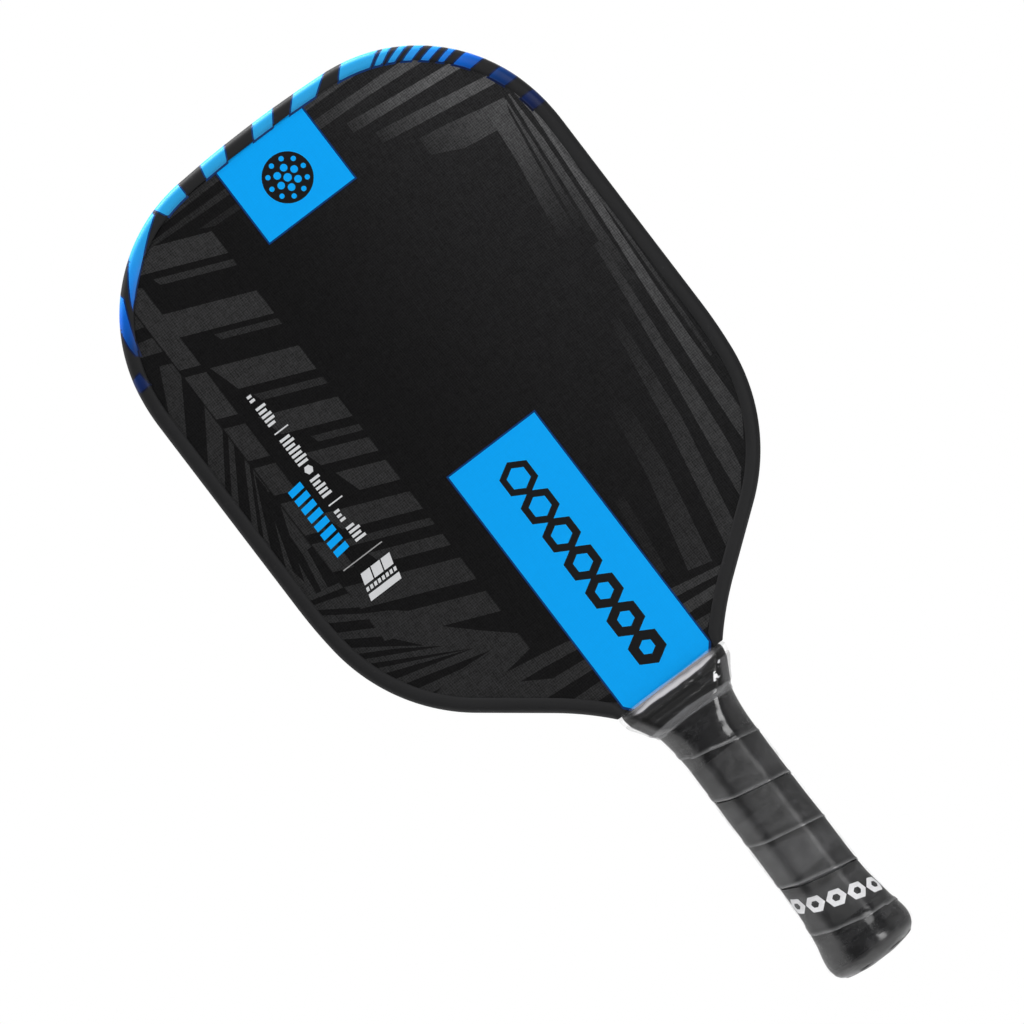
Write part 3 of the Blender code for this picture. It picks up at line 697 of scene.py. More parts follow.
def small_marks():
    """Beside the column: blue blocks, a scale of white ticks, a rule and three rows of slanted blocks."""
    for k in range(8):
        z = 253.4 + 4.15 * k
        ink([(-74.6, z), (-68.2, z + 0.7), (-68.2, z + 3.5), (-74.6, z + 2.8)], BLUE, 1)
    widths = (
        5.0, 4.2, 5.0, 3.6, 0.0, 2.4, 2.0, 2.4, 0.0, 6.6, 0.0, 4.4, 4.0, 4.4, 3.4, 4.4, 0.0, 0.0, 0.0,
        4.6, 5.2, 4.6, 5.2, 4.2, 5.2, 4.6, 0.0, 6.6, 0.0, 3.4, 4.4, 4.4, 3.6, 4.4, 0.0, 2.2, 2.0,
    )
    for k, wide in enumerate(widths):
        z = 253.8 + 1.94 * k
        if wide:
            thick = 0.55 if wide > 6 else 1.15
            ink([(-65.0, z), (-65.0 + wide, z), (-65.0 + wide, z + thick), (-65.0, z + thick)], WHITE, 1)
    disc(-62.6, 287.6, 1.9, WHITE, 6)
    ink([(-75.8, 247.7), (-56.9, 247.7), (-56.9, 248.15), (-75.8, 248.15)], grey(150), 1)
    for x0, z, thick, wide, step, count in (
        (-72.6, 238.3, 4.6, 4.3, 4.9, 3),
        (-73.4, 235.6, 1.6, 1.25, 1.9, 8),
        (-74.4, 231.9, 2.7, 14.9, 0.0, 1),
    ):
        for k in range(count):
            x = x0 + k * step
            lean = thick * 0.3
            ink([(x, z), (x + wide, z), (x + wide + lean, z + thick), (x + lean, z + thick)], WHITE, 1)


def print_face():
    """All inks in the order of printing."""
    INKS.clear()
    left_leaves()
    column_bars()
    crown_bands()
    edge_streaks()
    emblems()
    small_marks()

def ink_at(owner, x, z):
    """The colour of an ink at a place of the print. Owner 0 is the bare laminate."""
    if not owner:
        return BLACK
    _, color, _, fade = INKS[owner - 1]
    if fade:
        (x0, z0), (x1, z1), other = fade
        dx, dz = x1 - x0, z1 - z0
        t = min(max(((x - x0) * dx + (z - z0) * dz) / (dx * dx + dz * dz), 0.0), 1.0)
        color = tuple(lerp(a, b, t) for a, b in zip(color, other))
    return color


SHEET = 0.5
CUT_FINE = 1e-5  # corners of the print nearer than this are one


def make_face(name, node, side, mats):
    """A thin laminate whose outer side is cut along every edge of the print."""
    print_face()
    loops = [panel_loop()] + [[(-side * x, z) for x, z in points] for points, *_ in INKS]
    flat, inputs = [], []
    for loop in loops:
        inputs.append(list(range(len(flat), len(flat) + len(loop))))
        flat += loop if signed_area(loop) > 0 else loop[::-1]
    spots, _, tris, _, _, sources = delaunay_2d_cdt(flat, [], inputs, 1, CUT_FINE)
    kept = [(tuple(t), max(s)) for t, s in zip(tris, sources) if 0 in s]
    count = len(spots)
    points = [(p[0], y, p[1]) for y in (side * FACE_Y, side * (FACE_Y - SHEET)) for p in spots]
    edges = dict.fromkeys(edge for t, _ in kept for edge in zip(t, t[1:] + t[:1]))
    faces = [t for t, _ in kept] + [tuple(count + i for i in t[::-1]) for t, _ in kept]
    faces += [(b, a, count + a, count + b) for a, b in edges if (b, a) not in edges]
    if side > 0:
        faces = [one[::-1] for one in faces]
    owners = [owner for _, owner in kept] + [0] * (len(faces) - len(kept))
    points, faces = without_loose(points, faces)
    kinds = [INKS[owner - 1][2] if owner else 0 for owner in owners]
    obj = mesh_piece(name, points, faces, mats, "face_laminate", kinds, False)
    corners = [(owner, points[i]) for one, owner in zip(faces, owners) for i in one]
    add_attribute(obj, "ink", [ink_at(owner, -side * x, z) for owner, (x, _, z) in corners], "CORNER")
    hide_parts(node)


def panel_loop():
    """The CAD panel's outline down to its neck and tang."""
    outline = right_outline(2)
    right = [(x - n * PANEL_INSET, z - m * PANEL_INSET) for x, z, n, m in outline]
    turn = math.acos(outline[-1][2])
    x, z = right[-1]
    run = (x - TANG_HALF - NECK_R * (1 - math.cos(turn))) / math.sin(turn)
    x, z = x - run * math.sin(turn), z - run * math.cos(turn)
    right.append((x, z))
    for i in range(1, 9):
        t = turn * (1 - i / 8)
        dx, dz = math.cos(t) - math.cos(turn), math.sin(turn) - math.sin(t)
        right.append((x - NECK_R * dx, z - NECK_R * dz))
    right[-1] = (TANG_HALF, right[-1][1])
    right.append((TANG_HALF, sheet_lo.z / MM))
    return right + [(-x, z) for x, z in reversed(right[1:])]


# ---------------------------------------------------------------- edge guard
def guard_profile():
    """(distance inwards, Y) from the front lip round to the back lip, rounded."""
    half = [
        (0.0, 0.0), (0.0, 2.4), (0.02, 4.2), (0.1, 5.4), (0.3, 6.4), (0.62, 7.15), (1.05, 7.7), (1.6, 8.06),
        (2.3, 8.27), (3.1, 8.35), (4.0, 8.35), (4.8, 8.3), (5.4, 8.18), (5.85, 8.0), (6.08, 7.8),
        (6.1, 7.6),
    ]
    scale = GUARD_HALF / max(y for _, y in half)
    half = [(n, y * scale) for n, y in half]
    return [(n, -y) for n, y in reversed(half)] + half[1:]


PROFILE = guard_profile()
V = [0.0]
for a, b in zip(PROFILE, PROFILE[1:]):
    V.append(V[-1] + math.dist(a, b))


def guard_spot(u, v, lift=0.0):
    """A point on the guard's skin at arc length u and profile length v, lifted off it."""
    v = min(max(v, 0.0), V[-1])
    i = max(k for k in range(len(V) - 1) if V[k] <= v)
    t = (v - V[i]) / (V[i + 1] - V[i])
    (na, ya), (nb, yb) = PROFILE[i], PROFILE[i + 1]
    n, y = lerp(na, nb, t), lerp(ya, yb, t)
    dn, dy = nb - na, yb - ya
    size = math.hypot(dn, dy)
    n, y = n - lift * dy / size, y + lift * dn / size
    x, z, nx, nz = along(u)
    return (x - nx * n, y, z - nz * n)


def v_at(inward):
    """Profile length on the front lip at a distance inwards from the rim."""
    for i in range(len(V) - 1):
        (na, _), (nb, _) = PROFILE[i], PROFILE[i + 1]
        if na >= inward >= nb and na > nb:
            return lerp(V[i], V[i + 1], (na - inward) / (na - nb))
    return 0.0


SLOT = ((1.85, 7.6), (1.85, -7.6))  # the guard's inner corners: (distance inwards, Y)


def make_guard(material):
    """The whole U-section, swept from throat to throat and cut level at both ends."""
    rings = [[(x - nx * n, y, z - nz * n) for n, y in (*PROFILE, *SLOT)] for x, z, nx, nz in PATH]
    for ring in (rings[0], rings[-1]):
        ring[:] = [(x, y, GUARD_END_Z) for x, y, _ in ring]
    obj = mesh_piece("guard_detailed", *capped(rings), [material], "guard_tpu", closed=True)
    sharpen(obj, 50)
    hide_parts("edge_guard")


WRAP = 3.6  # mm by which a print runs on round the rim
LIP = 6.35  # mm inwards from the rim to just past the lip's inner edge


def guard_patches():
    """Each patch as a loop of (arc length, distance inwards). Below zero it lies beyond the rim."""
    loops = []
    # four corners in mm on the front view: two on the lip's inner edge, then two at the rim
    for corners in (
        ((-46.6, 400.9), (-35.9, 402.0), (-35.9, 408), (-49.4, 406)),
        ((-25.6, 402.7), (-15.4, 403.1), (-12.2, 408.8), (-24.2, 408.6)),
        ((-1.8, 403.0), (7.2, 403.3), (11.6, 408.8), (2.0, 409.0)),
        ((16.0, 402.9), (27.5, 402.6), (36.0, 408.0), (22.0, 408.8)),
        ((38.6, 401.6), (52.0, 400.0), (58.5, 402.4), (44.0, 406.9)),
        ((53.6, 399.0), (56.4, 397.6), (63.2, 399.9), (60.5, 401.5)),
        ((58.6, 396.7), (61.0, 395.2), (68.4, 396.0), (66.2, 398.0)),
        ((63.8, 393.3), (66.4, 391.3), (73.4, 391.7), (70.8, 394.2)),
        ((69.3, 389.0), (71.6, 386.8), (78.4, 387.2), (76.2, 389.4)),
        ((74.2, 384.2), (75.8, 382.6), (82.2, 383.0), (80.8, 385.2)),
        ((78.2, 379.5), (82.6, 374.2), (89.6, 374.2), (85.6, 380.3)),
        ((86.4, 367.2), (89.3, 360.6), (95.6, 360.4), (93.0, 367.5)),
        ((90.9, 352.6), (91.9, 346.4), (98.4, 346.2), (97.6, 352.6)),
    ):
        ua, ub, uc, ud = (project(*corner)[0] for corner in corners)
        lean_left, lean_right = (ud - ua) / LIP, (uc - ub) / LIP
        beyond = [(uc + lean_right * WRAP, -WRAP), (ud + lean_left * WRAP, -WRAP)]
        loops.append([(ua, LIP), (ub, LIP), (uc, 0.0), *beyond, (ud, 0.0)])
    # slivers that taper along the rim. A third number is how far that point runs on round it
    for shape in (
        [(-49.0, 405.0, 3), (-56.0, 402.8, 3), (-62.0, 400.4, 2), (-66.4, 397.6, 0.3), (-69.5, 394.4),
            (-73.0, 389.8), (-76.0, 385.3), (-78.8, 380.4), (-79.3, 379.0), (-75.8, 382.4), (-72.0, 386.0),
            (-68.0, 389.3), (-64.0, 392.6), (-60.5, 395.7), (-57.0, 398.6), (-53.4, 401.2), (-50.5, 403.2)],
        [(-78.4, 387.6, 3), (-81.5, 384.6, 3), (-84.9, 380.8, 2), (-87.4, 377.0, 0.2), (-88.7, 373.0),
            (-89.4, 368.0), (-89.3, 363.8), (-87.9, 363.0), (-86.5, 367.6), (-85.0, 372.0), (-83.4, 376.4),
            (-81.6, 380.6), (-79.8, 384.4)],
        [(-96.9, 356.6, 0.5), (-92.6, 357.2), (-91.9, 351.6), (-97.4, 351.0, 0.5)],
    ):
        loop = []
        for x, z, *past in shape:
            u, inward = project(x, z)
            loop.append((u, -past[0] if past else inward))
        loops.append(loop)
    return loops

def grown(loop, by):
    """The loop moved outwards by a distance at every corner."""
    turn = math.copysign(1.0, signed_area(loop))
    out = []
    for i, (u, n) in enumerate(loop):
        (au, an), (bu, bn) = loop[i - 1], loop[(i + 1) % len(loop)]
        p, q = math.dist((u, n), (au, an)), math.dist((u, n), (bu, bn))
        su = (n - an) / p + (bn - n) / q
        sn = -(u - au) / p - (bu - u) / q
        size = max(math.hypot(su, sn), 0.6)
        out.append((u + turn * by * su * 2 / size**2, n + turn * by * sn * 2 / size**2))
    return out


def dense(loop, step):
    """The loop with points no further apart than step."""
    out = []
    for (au, an), (bu, bn) in zip(loop, loop[1:] + loop[:1]):
        parts = max(1, math.ceil(math.dist((au, an), (bu, bn)) / step))
        out += [(lerp(au, bu, k / parts), lerp(an, bn, k / parts)) for k in range(parts)]
    return out


LIP_EDGE, LIP_Y, LIP_FALL = 6.08, 7.62, 0.3  # past the lip's inner edge a print drops to the face
RIM = 0.35  # nearer to the rim than this, a print is measured along the profile


def on_skin(u, inward, lift):
    """A point on the guard, or on the face inside it."""
    if inward > LIP_EDGE:
        x, z, nx, nz = along(u)
        y = lerp(LIP_Y, FACE_Y, min((inward - LIP_EDGE) / LIP_FALL, 1.0)) + lift
        return (x - nx * inward, -y, z - nz * inward)
    return guard_spot(u, v_at(inward) if inward > RIM else v_at(RIM) + RIM - inward, lift)


GRID_U, GRID_N = 0.8, 0.55  # mm between the points inside a patch


def make_guard_print(bright, dark, side):
    """The patches as ink on the guard's skin, a dark edge under a bright patch."""
    end = "_front" if side < 0 else "_back"
    for name, mat, grow, lift in (("rim_print_edge", dark, 0.6, 0.03), ("rim_print", bright, 0.0, 0.06)):
        points, faces = [], []
        for loop in guard_patches():
            edge = dense(grown(loop, grow) if grow else loop, 0.9)
            edge = edge if signed_area(edge) > 0 else edge[::-1]
            us, ns = zip(*edge)
            across = [min(us) + GRID_U * i + 0.4 for i in range(int((max(us) - min(us)) / GRID_U))]
            inwards = [min(ns) + GRID_N * j + 0.3 for j in range(int((max(ns) - min(ns)) / GRID_N))]
            grid = [(u, n) for u in across for n in inwards]
            inside = [p for p in grid if min(math.dist(p, q) for q in edge) > 0.3]
            outline = [list(range(len(edge)))]
            spots, _, tris, *_ = delaunay_2d_cdt(edge + inside, [], outline, 1, CUT_FINE)
            start = len(points)
            for u, n in spots:
                x, y, z = on_skin(u, n, lift)
                points.append((x, y, z) if side < 0 else (-x, -y, z))
            faces += [tuple(start + i for i in reversed(t)) for t in tris]
        mesh_piece(name + end, *without_loose(points, faces), [mat], "guard_tpu")


# ---------------------------------------------------------------- handle
# (height, half width, half depth, half front facet, half side facet)
ENVELOPE = [
    (0.9, 13.4, 11.6, 6.9, 4.6), (1.4, 15.0, 13.0, 7.7, 5.2), (1.9, 16.1, 14.0, 8.1, 5.7),
    (2.6, 17.0, 14.8, 8.4, 6.0), (3.6, 18.0, 15.7, 8.8, 6.4), (5.0, 18.8, 16.4, 9.0, 6.6),
    (6.6, 19.25, 16.8, 9.2, 6.8), (8.6, 19.4, 16.9, 9.2, 6.8), (11.0, 19.2, 16.7, 9.2, 6.8),
    (14.0, 18.6, 16.2, 9.1, 6.6),
    (17.0, 17.9, 15.6, 9.0, 6.5), (20.0, 17.4, 15.1, 8.9, 6.3), (24.0, 16.8, 14.6, 8.8, 6.2),
    (29.0, 16.1, 14.0, 8.7, 6.1),
    (34.0, 15.75, 13.7, 8.6, 6.0), (42.0, 15.6, 13.6, 8.6, 6.0), (102.0, 15.55, 13.6, 8.6, 6.0),
    (107.0, 15.7, 13.6, 8.7, 5.9),
    (111.0, 16.0, 13.6, 9.3, 5.7), (115.0, 16.5, 13.6, 10.5, 5.5), (118.5, 17.1, 13.65, 11.9, 5.3),
    (121.3, 17.7, 13.7, 13.1, 5.1),
    (123.0, 18.9, 13.8, 14.0, 5.2), (126.4, 21.0, 12.7, 16.2, 5.4), (129.6, 22.9, 11.4, 18.1, 5.6),
    (132.0, 23.7, 10.4, 19.4, 5.8),
    (134.4, 24.1, 9.4, 20.8, 6.1), (136.2, 24.0, 8.8, 21.4, 6.2),
]


def envelope(z):
    """The numbers of ENVELOPE at a height, on a smooth curve through its rows."""
    rows = ENVELOPE
    if z <= rows[0][0]:
        return rows[0][1:]
    if z >= rows[-1][0]:
        return rows[-1][1:]
    i = max(k for k in range(len(rows) - 1) if rows[k][0] <= z)
    a, b = rows[max(i - 1, 0)], rows[i]
    c, d = rows[i + 1], rows[min(i + 2, len(rows) - 1)]
    h = c[0] - b[0]
    t = (z - b[0]) / h
    out = []
    for k in range(1, 5):
        m0 = (c[k] - a[k]) / max(c[0] - a[0], 1e-6) * h
        m1 = (d[k] - b[k]) / max(d[0] - b[0], 1e-6) * h
        if c[k] == b[k]:
            m0 = m1 = 0.0
        start, end = (2 * t**3 - 3 * t**2 + 1) * b[k], (3 * t**2 - 2 * t**3) * c[k]
        out.append(start + (t**3 - 2 * t**2 + t) * m0 + end + (t**3 - t**2) * m1)
    return out


SOFT = 6  # points that round each corner of the octagon


def section(z, inset=0.0, cut=None):
    """The rounded octagon at a height, moved inwards by inset. cut is how far its corners are rounded."""
    cut = cut or 3.2 + 2.4 * smooth((z - 101) / 10) + 3.4 * smooth((21.5 - z) / 6)
    w, d, f, s = envelope(z)
    nx, ny = d - s, w - f
    size = math.hypot(nx, ny)
    nx, ny = nx / size, ny / size
    reach = nx * w + ny * s - inset
    w, d = w - inset, d - inset
    s = (reach - nx * w) / ny
    f = (reach - ny * d) / nx
    corners = [(f, d), (-f, d), (-w, s), (-w, -s), (-f, -d), (f, -d), (w, -s), (w, s)]
    out = []
    for i, (x, y) in enumerate(corners):
        (ax, ay), (bx, by) = corners[i - 1], corners[(i + 1) % 8]
        la, lb = math.hypot(ax - x, ay - y), math.hypot(bx - x, by - y)
        c = min(cut, 0.46 * la, 0.46 * lb)
        p = (x + (ax - x) / la * c, y + (ay - y) / la * c)
        q = (x + (bx - x) / lb * c, y + (by - y) / lb * c)
        for k in range(SOFT):
            t = k / (SOFT - 1)
            shares = ((1 - t) ** 2, 2 * t * (1 - t), t * t)
            out.append(tuple(shares[0] * v + shares[1] * w + shares[2] * u for v, w, u in zip(p, (x, y), q)))
        # two more points along the facet to the next corner
        end = (bx + (x - bx) / lb * c, by + (y - by) / lb * c)
        for t in (0.33, 0.67):
            out.append((lerp(q[0], end[0], t), lerp(q[1], end[1], t)))
    return out


BASE = section(60.0)
COUNT = len(BASE)
LENGTHS = [math.dist(a, b) for a, b in zip(BASE, BASE[1:] + BASE[:1])]
AROUND = sum(LENGTHS)
SHARES = [sum(LENGTHS[:i]) / AROUND for i in range(COUNT)]  # of the way around, at each point of a section
PER_FACET = SOFT + 2
FRONT = (SHARES[5 * PER_FACET - 2] + SHARES[5 * PER_FACET - 1]) / 2  # in the middle of the front facet
PITCH, SEAM_Z = 21.3, 104.8
GRIP_TOP, GRIP_LOW = 121.3, 1.0
UNDERSIDE = 1.6  # inset of the strip's hidden side


def seam(i, turn):
    """Height of the seam above a turn of the strip, at point i around, a little uneven as wound by hand."""
    wound = SHARES[i] + turn
    return SEAM_Z + PITCH * (FRONT - wound) + 0.45 * math.sin(2.9 * wound) + 0.3 * math.sin(8.3 * wound)


def lumpy(x, y, z):
    """A point of the strip's skin moved a little in or out."""
    p = Vector((x, y, z)) * 0.075
    size = 1 + 0.16 * (noise.noise(p) + 0.5 * noise.noise(p * 2.6)) / 16
    return (x * size, y * size, z)


def bell(t):
    """1 at zero, and falling to nothing on both sides."""
    return math.exp(-(t**2))


def make_grip(material):
    """The strip as wound: each turn's lower edge lies over the upper edge of the turn below."""
    rings, laps = [], []
    steps = 22
    for step in range(-3 * COUNT, 9 * COUNT):
        turn, i = divmod(step, COUNT)
        upper, lower = seam(i, turn), seam(i, turn) - PITCH
        top, low = min(upper, GRIP_TOP), max(lower, GRIP_LOW)
        if top - low < 1.2:
            continue
        profile = []
        for k in range(steps + 1):
            t = k / steps
            t = t - 0.09 * math.sin(math.tau * t)  # closer together beside the seams
            z = lerp(low, top, t)
            above, below = z - lower, upper - z  # distances from the strip's own edges
            lift = 0.36 * bell(above / 1.05) - 0.12 * bell(below / 0.9)
            if lower < GRIP_LOW and above > 3:
                lift = min(lift, 0.0)
            profile.append((z, (0.12 if k == 0 else 0.0) - lift))
            # the lap attribute holds a painted highlight along the strip's raised lower edge, and painted
            # shade below its upper edge
            edge = bell(above / 0.85) if lower > GRIP_LOW else 0.0
            laps.append((edge, bell(below / 3.4) if upper < GRIP_TOP else 0.0, 0.0))
        profile += [(z, UNDERSIDE) for z in (top, lerp(low, top, 0.5), low)]
        laps += [(0.0, 0.0, 0.0)] * 3
        ring = []
        for z, inset in profile:
            x, y = section(z, inset)[i]
            ring.append(lumpy(x, y, z) if inset < UNDERSIDE else (x, y, z))
        rings.append(ring)
    obj = mesh_piece("grip_strip", *capped(rings), [material], "grip_polyurethane", closed=True)
    add_attribute(obj, "lap", laps)
    sharpen(obj, 60)
    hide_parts("grip_wrap")


HEX_STEP, HEX_Z = 8.2, 30.6  # mm between hexagons around the handle, and the middle one's height
HEX_SLOPE, HEX_LEAN = 0.34, 0.25
HEX_RINGS = (3.9, 2.75, 1.6)
HEX_SIDE = 6  # points along each side


def printed(share, z):
    """A point on the skin of the strip, at a share of the way around."""
    share %= 1.0
    i = max(k for k in range(COUNT) if SHARES[k] <= share)
    after = SHARES[(i + 1) % COUNT] or 1.0
    t = (share - SHARES[i]) / max(after - SHARES[i], 1e-6)
    ring = section(z, -0.05)
    (ax, ay), (bx, by) = ring[i], ring[(i + 1) % COUNT]
    return lumpy(lerp(ax, bx, t), lerp(ay, by, t), z)


def make_grip_print(material):
    """A row of open hexagons printed along one turn of the strip, across the front."""
    points, faces = [], []
    corners = 6 * HEX_SIDE
    for k in range(-3, 4):
        share, middle = FRONT + k * HEX_STEP / AROUND, HEX_Z - HEX_SLOPE * k * HEX_STEP
        faces += [tuple(len(points) + i for i in face) for face in strips(len(HEX_RINGS), corners)]
        for radius in HEX_RINGS:
            for c in range(corners):
                side, t = divmod(c, HEX_SIDE)
                a, b = math.tau * side / 6, math.tau * (side + 1) / 6
                pz = lerp(math.sin(a), math.sin(b), t / HEX_SIDE) * radius
                px = lerp(math.cos(a), math.cos(b), t / HEX_SIDE) * radius + HEX_LEAN * pz
                points.append(printed(share + px / AROUND, middle + pz - HEX_SLOPE * px))
    mesh_piece("grip_print", points, faces, [material], "grip_polyurethane")


def collar_bulge(z):
    """How far the collar swells at a height: a rolled lower lip, then faint ribs."""
    lip = 0.3 * smooth((z - 120.9) / 1.0) * smooth((127.8 - z) / 4.2)
    return lip + (0.08 * max(0.0, math.sin((z - 125.6) * math.tau / 4.1)) if 125.2 < z < 134.0 else 0.0)


COLLAR_LOW, COLLAR_HIGH, COLLAR_STEPS = 121.65, 136.2, 64


def make_collar(material):
    """The rubber ring: a rolled lower lip, ribs, and a thin upper edge that lies on the faces."""
    rings = []
    for k in range(COLLAR_STEPS + 1):
        z = lerp(COLLAR_LOW, COLLAR_HIGH, k / COLLAR_STEPS)
        inset = -collar_bulge(z) + (0.35 if z in (COLLAR_LOW, COLLAR_HIGH) else 0.0)
        wavy = 0.35 * smooth((z - 130) / 6)
        rings.append([(x, y, z + wavy * math.sin(x * 0.16 + 0.6)) for x, y in section(z, inset, 3.0)])
    # its inner side stays clear of the faces
    for z in (COLLAR_HIGH, 134.2, 132.0, 127.0, COLLAR_LOW):
        _, _, facet, side = envelope(z)
        inset, room = (1.2, 8.0) if z < 133 else (0.9, FACE_Y + 0.16)
        ring = []
        for x, y in section(z, inset, 1.0):
            if abs(x) < facet and abs(y) >= side:
                y = math.copysign(max(abs(y), room), y)
            ring.append((x, y, z))
        rings.append(ring)
    points, faces = [p for ring in rings for p in ring], strips(len(rings), COUNT, True)
    obj = mesh_piece("collar_ribbed", points, faces, [material], "collar_rubber", closed=True)
    sharpen(obj, 55)
    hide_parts("grip_collar")


FILM_LOW, FILM_HIGH, FILM_STEPS = 1.0, 135.4, 180
FILM_UNDER = ((0.52, -0.12), (0.7, 0.05), (0.86, 0.4),
(0.96, 0.75))  # (share of the width, height) below the butt
FRILL = ((136.0, 0.5), (136.6, 0.75), (137.1, 0.95))  # (height, mm off the collar)
FRAYED_ROWS = 8


def make_film(clear, frayed):
    """Clear film pulled tight over grip and collar, creased, with a loose frill at its upper edge."""
    rings = [[(x * share, y * share, z) for x, y in section(0.9, -0.2)] for share, z in FILM_UNDER]
    for step in range(FILM_STEPS + 1):
        z = lerp(FILM_LOW, FILM_HIGH, step / FILM_STEPS)
        ring = []
        for x, y in section(z, -0.62 - 0.8 * smooth((z - 125) / 8) - 0.9 * collar_bulge(z)):
            wrinkle = 0.16 * noise.noise(Vector((x * 0.22, y * 0.22, z * 0.35)))
            wrinkle += 0.10 * noise.noise(Vector((x * 0.6, y * 0.6, z * 1.1 + 9)))
            swell = 1 + (max(wrinkle, -0.12) + (0.2 if z > 122 else 0.0)) / 17
            ring.append((x * swell, y * swell, z))
        rings.append(ring)
    # the frill: the film's free end, standing a little off the collar and the faces
    for k, (z, off) in enumerate(FRILL):
        ring = []
        for x, y in section(COLLAR_HIGH, -0.9 - off):
            wave = noise.noise(Vector((x * 0.3, y * 0.3, 4.0)))
            ring.append((x, y * (1 - 0.02 * k), z + (0.9 * wave if k else 0.0)))
        rings.append(ring)
    points = [p for ring in rings for p in ring]
    # each point's distance from the nearest seam: the clear film's haze is thinned beside the seams, as
    # painted shade
    laps = []
    for k, (_, _, z) in enumerate(points):
        turns = (SEAM_Z - z) / PITCH + FRONT - SHARES[k % COUNT]
        gap = min(abs(seam(k % COUNT, turn) - z) for turn in (math.floor(turns), math.ceil(turns)))
        laps.append([smooth((gap - 1.2) / 3.4)] * 3)
    faces = [(a, d, c, b) for a, b, c, d in strips(len(rings), COUNT)]
    kinds = [0] * (len(faces) - FRAYED_ROWS * COUNT) + [1] * (FRAYED_ROWS * COUNT)
    obj = mesh_piece("film_creased", points, faces, [clear, frayed], "film_clear", kinds, closed=True)
    add_attribute(obj, "lap", laps)
    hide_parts("grip_film")


# ---------------------------------------------------------------- the object
face_mats = [laminate_material(), opaque_ink_material()]
make_face("face_front", "front_face_sheet", -1.0, face_mats)
make_face("face_back", "back_face_sheet", 1.0, face_mats)
make_guard(guard_material())
rim_bright, rim_dark = rim_ink_material("rim_ink", RIM_BLUES), rim_ink_material("rim_ink_edge", RIM_NAVIES)
for side in (-1.0, 1.0):
    make_guard_print(rim_bright, rim_dark, side)
make_grip(grip_material())
make_grip_print(grip_ink_material())
make_collar(collar_material())
clear, frayed = lin(132, 132, 134), lin(212, 210, 214)
make_film(film_material("film_clear_creased", clear), film_material("film_frayed", frayed, True))

plain = {
    "honeycomb_core": moulded_material(
        "core_polypropylene_cells", lin(205, 205, 198), lin(228, 228, 222), 0.5,
    ),
    "front_handle_pallet": moulded_material("pallet_foam_front", lin(96, 96, 98), lin(122, 122, 124), 0.8),
    "butt_cap": moulded_material("cap_moulded", lin(34, 34, 35), lin(46, 46, 47), 0.40),
}
plain["back_handle_pallet"] = plain["front_handle_pallet"]
for node, material in plain.items():
    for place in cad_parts[node].material_slots:
        place.material = material

# ---------------------------------------------------------------- floor, light and camera
FLOOR_Z = -250.0


FLOOR_R, FLOOR_RINGS, FLOOR_SIDES = 640.0, 12, 64


def make_floor():
    """A pale disc well below the butt that fades out before the main view meets it."""
    g = Graph("stage_floor")
    x, y, _ = g.place()
    away = g.math("SQRT", g.plus(g.times(x, x), g.times(y, y)))
    fade = g.span(away, 240.0, 620.0, 1.0, 0.0, EASE)
    material = g.finish(lin(236, 236, 236), 0.7, Alpha=fade, Specular_IOR_Level=0.1)
    points = [(0.0, 0.0, FLOOR_Z)]
    for ring in range(1, FLOOR_RINGS + 1):
        radius = FLOOR_R * ring / FLOOR_RINGS
        for k in range(FLOOR_SIDES):
            a = math.tau * k / FLOOR_SIDES
            points.append((radius * math.cos(a), radius * math.sin(a), FLOOR_Z))
    faces = [(0, 1 + k, 1 + (k + 1) % FLOOR_SIDES) for k in range(FLOOR_SIDES)]
    for a, b, c, d in strips(FLOOR_RINGS, FLOOR_SIDES):
        faces.append((a + 1, d + 1, c + 1, b + 1))
    floor = add_object("stage_floor", points, faces, [material])


make_floor()

# brightness by direction: 0 is straight in front of the printed face, 1 straight behind it
WORLD_STOPS = ((0.0, 0.02), (0.14, 0.03), (0.26, 0.6), (0.36, 0.95), (0.62, 0.85), (1.0, 0.4))
WORLD_LEFT, WORLD_RIGHT = 1.40, 0.56


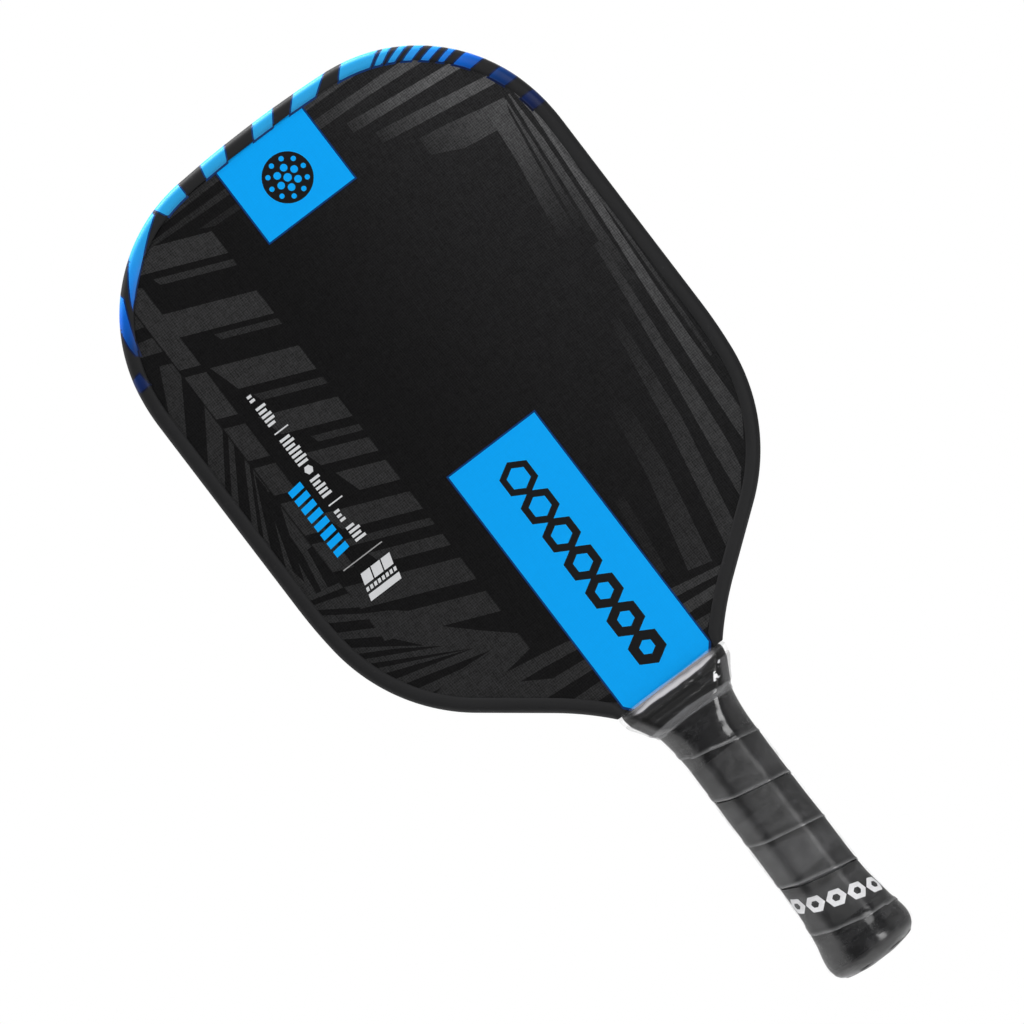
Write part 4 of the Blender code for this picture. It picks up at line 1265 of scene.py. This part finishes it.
def make_world():
    """White to the camera. As light it is dark in front, bright at the sides, above and behind."""
    world = bpy.data.worlds.new("studio")
    bpy.context.scene.world = world
    world.use_nodes = True
    tree = world.node_tree
    tree.nodes.clear()

    def put(kind):
        return tree.nodes.new(kind)

    out, mix, path = put("ShaderNodeOutputWorld"), put("ShaderNodeMixShader"), put("ShaderNodeLightPath")
    seen, lights = put("ShaderNodeBackground"), put("ShaderNodeBackground")
    seen.inputs[0].default_value = (1, 1, 1, 1)
    where, apart = put("ShaderNodeTexCoord"), put("ShaderNodeSeparateXYZ")
    tree.links.new(where.outputs["Generated"], apart.inputs[0])
    depth, across = put("ShaderNodeMapRange"), put("ShaderNodeMapRange")
    depth.inputs["From Min"].default_value = -1.0
    tree.links.new(apart.outputs[1], depth.inputs["Value"])
    ramp = put("ShaderNodeValToRGB")
    tree.links.new(depth.outputs[0], ramp.inputs[0])
    while len(ramp.color_ramp.elements) < len(WORLD_STOPS):
        ramp.color_ramp.elements.new(0.5)
    for element, (at, v) in zip(ramp.color_ramp.elements, WORLD_STOPS):
        element.position, element.color = at, (v, v, v, 1)
    across.inputs["From Min"].default_value = -1.0
    across.inputs["To Min"].default_value, across.inputs["To Max"].default_value = WORLD_LEFT, WORLD_RIGHT
    tree.links.new(apart.outputs[0], across.inputs["Value"])
    tree.links.new(ramp.outputs[0], lights.inputs[0])
    tree.links.new(across.outputs[0], lights.inputs[1])
    tree.links.new(path.outputs["Is Camera Ray"], mix.inputs[0])
    tree.links.new(lights.outputs[0], mix.inputs[1])
    tree.links.new(seen.outputs[0], mix.inputs[2])
    tree.links.new(mix.outputs[0], out.inputs[0])


make_world()


def area(name, at, target, wide, high, power):
    """A soft light, placed in metres and aimed at target."""
    data = bpy.data.lights.new(name, "AREA")
    data.shape, data.size, data.size_y, data.energy = "RECTANGLE", wide, high, power
    obj = bpy.data.objects.new(name, data)
    bpy.context.scene.collection.objects.link(obj)
    obj.location = at
    obj.rotation_euler = (Vector(target) - Vector(at)).to_track_quat("-Z", "Y").to_euler()
    obj.visible_camera = False


area("key_top", (0.05, -0.55, 1.60), (0, 0, 0.27), 1.2, 0.6, 21)
area("crown", (0.0, 0.14, 1.3), (0, 0, 0.38), 0.9, 0.3, 17)
area("strip_low", (0.36, -0.99, -0.16), (0, 0, 0.11), 0.40, 0.30, 3.2)
area("strip_high", (0.36, -1.00, 0.42), (0, 0, 0.02), 0.44, 0.34, 2.0)
area("back_soft", (0.5, 1.5, 0.9), (0, 0, 0.25), 1.0, 1.0, 7)

camera_data = bpy.data.cameras.new("camera")
camera_data.lens, camera_data.sensor_width = 135.0, 36.0
camera_data.clip_start, camera_data.clip_end = 0.05, 20.0
camera = bpy.data.objects.new("camera", camera_data)
bpy.context.scene.collection.objects.link(camera)
FRAME_WIDTH, ROLL = 402.0, math.radians(37.3)
AIM = Vector((-9.5, 0.0, 226.3)) * MM
distance = FRAME_WIDTH * MM * camera_data.lens / camera_data.sensor_width
right = Vector((math.cos(ROLL), 0, -math.sin(ROLL)))
up = Vector((math.sin(ROLL), 0, math.cos(ROLL)))
back = right.cross(up)
turned = Matrix((right, up, back)).transposed()
camera.matrix_world = Matrix.Translation(AIM + back * distance) @ turned.to_4x4()
bpy.context.scene.camera = camera
bpy.context.scene.view_settings.view_transform = "Standard"
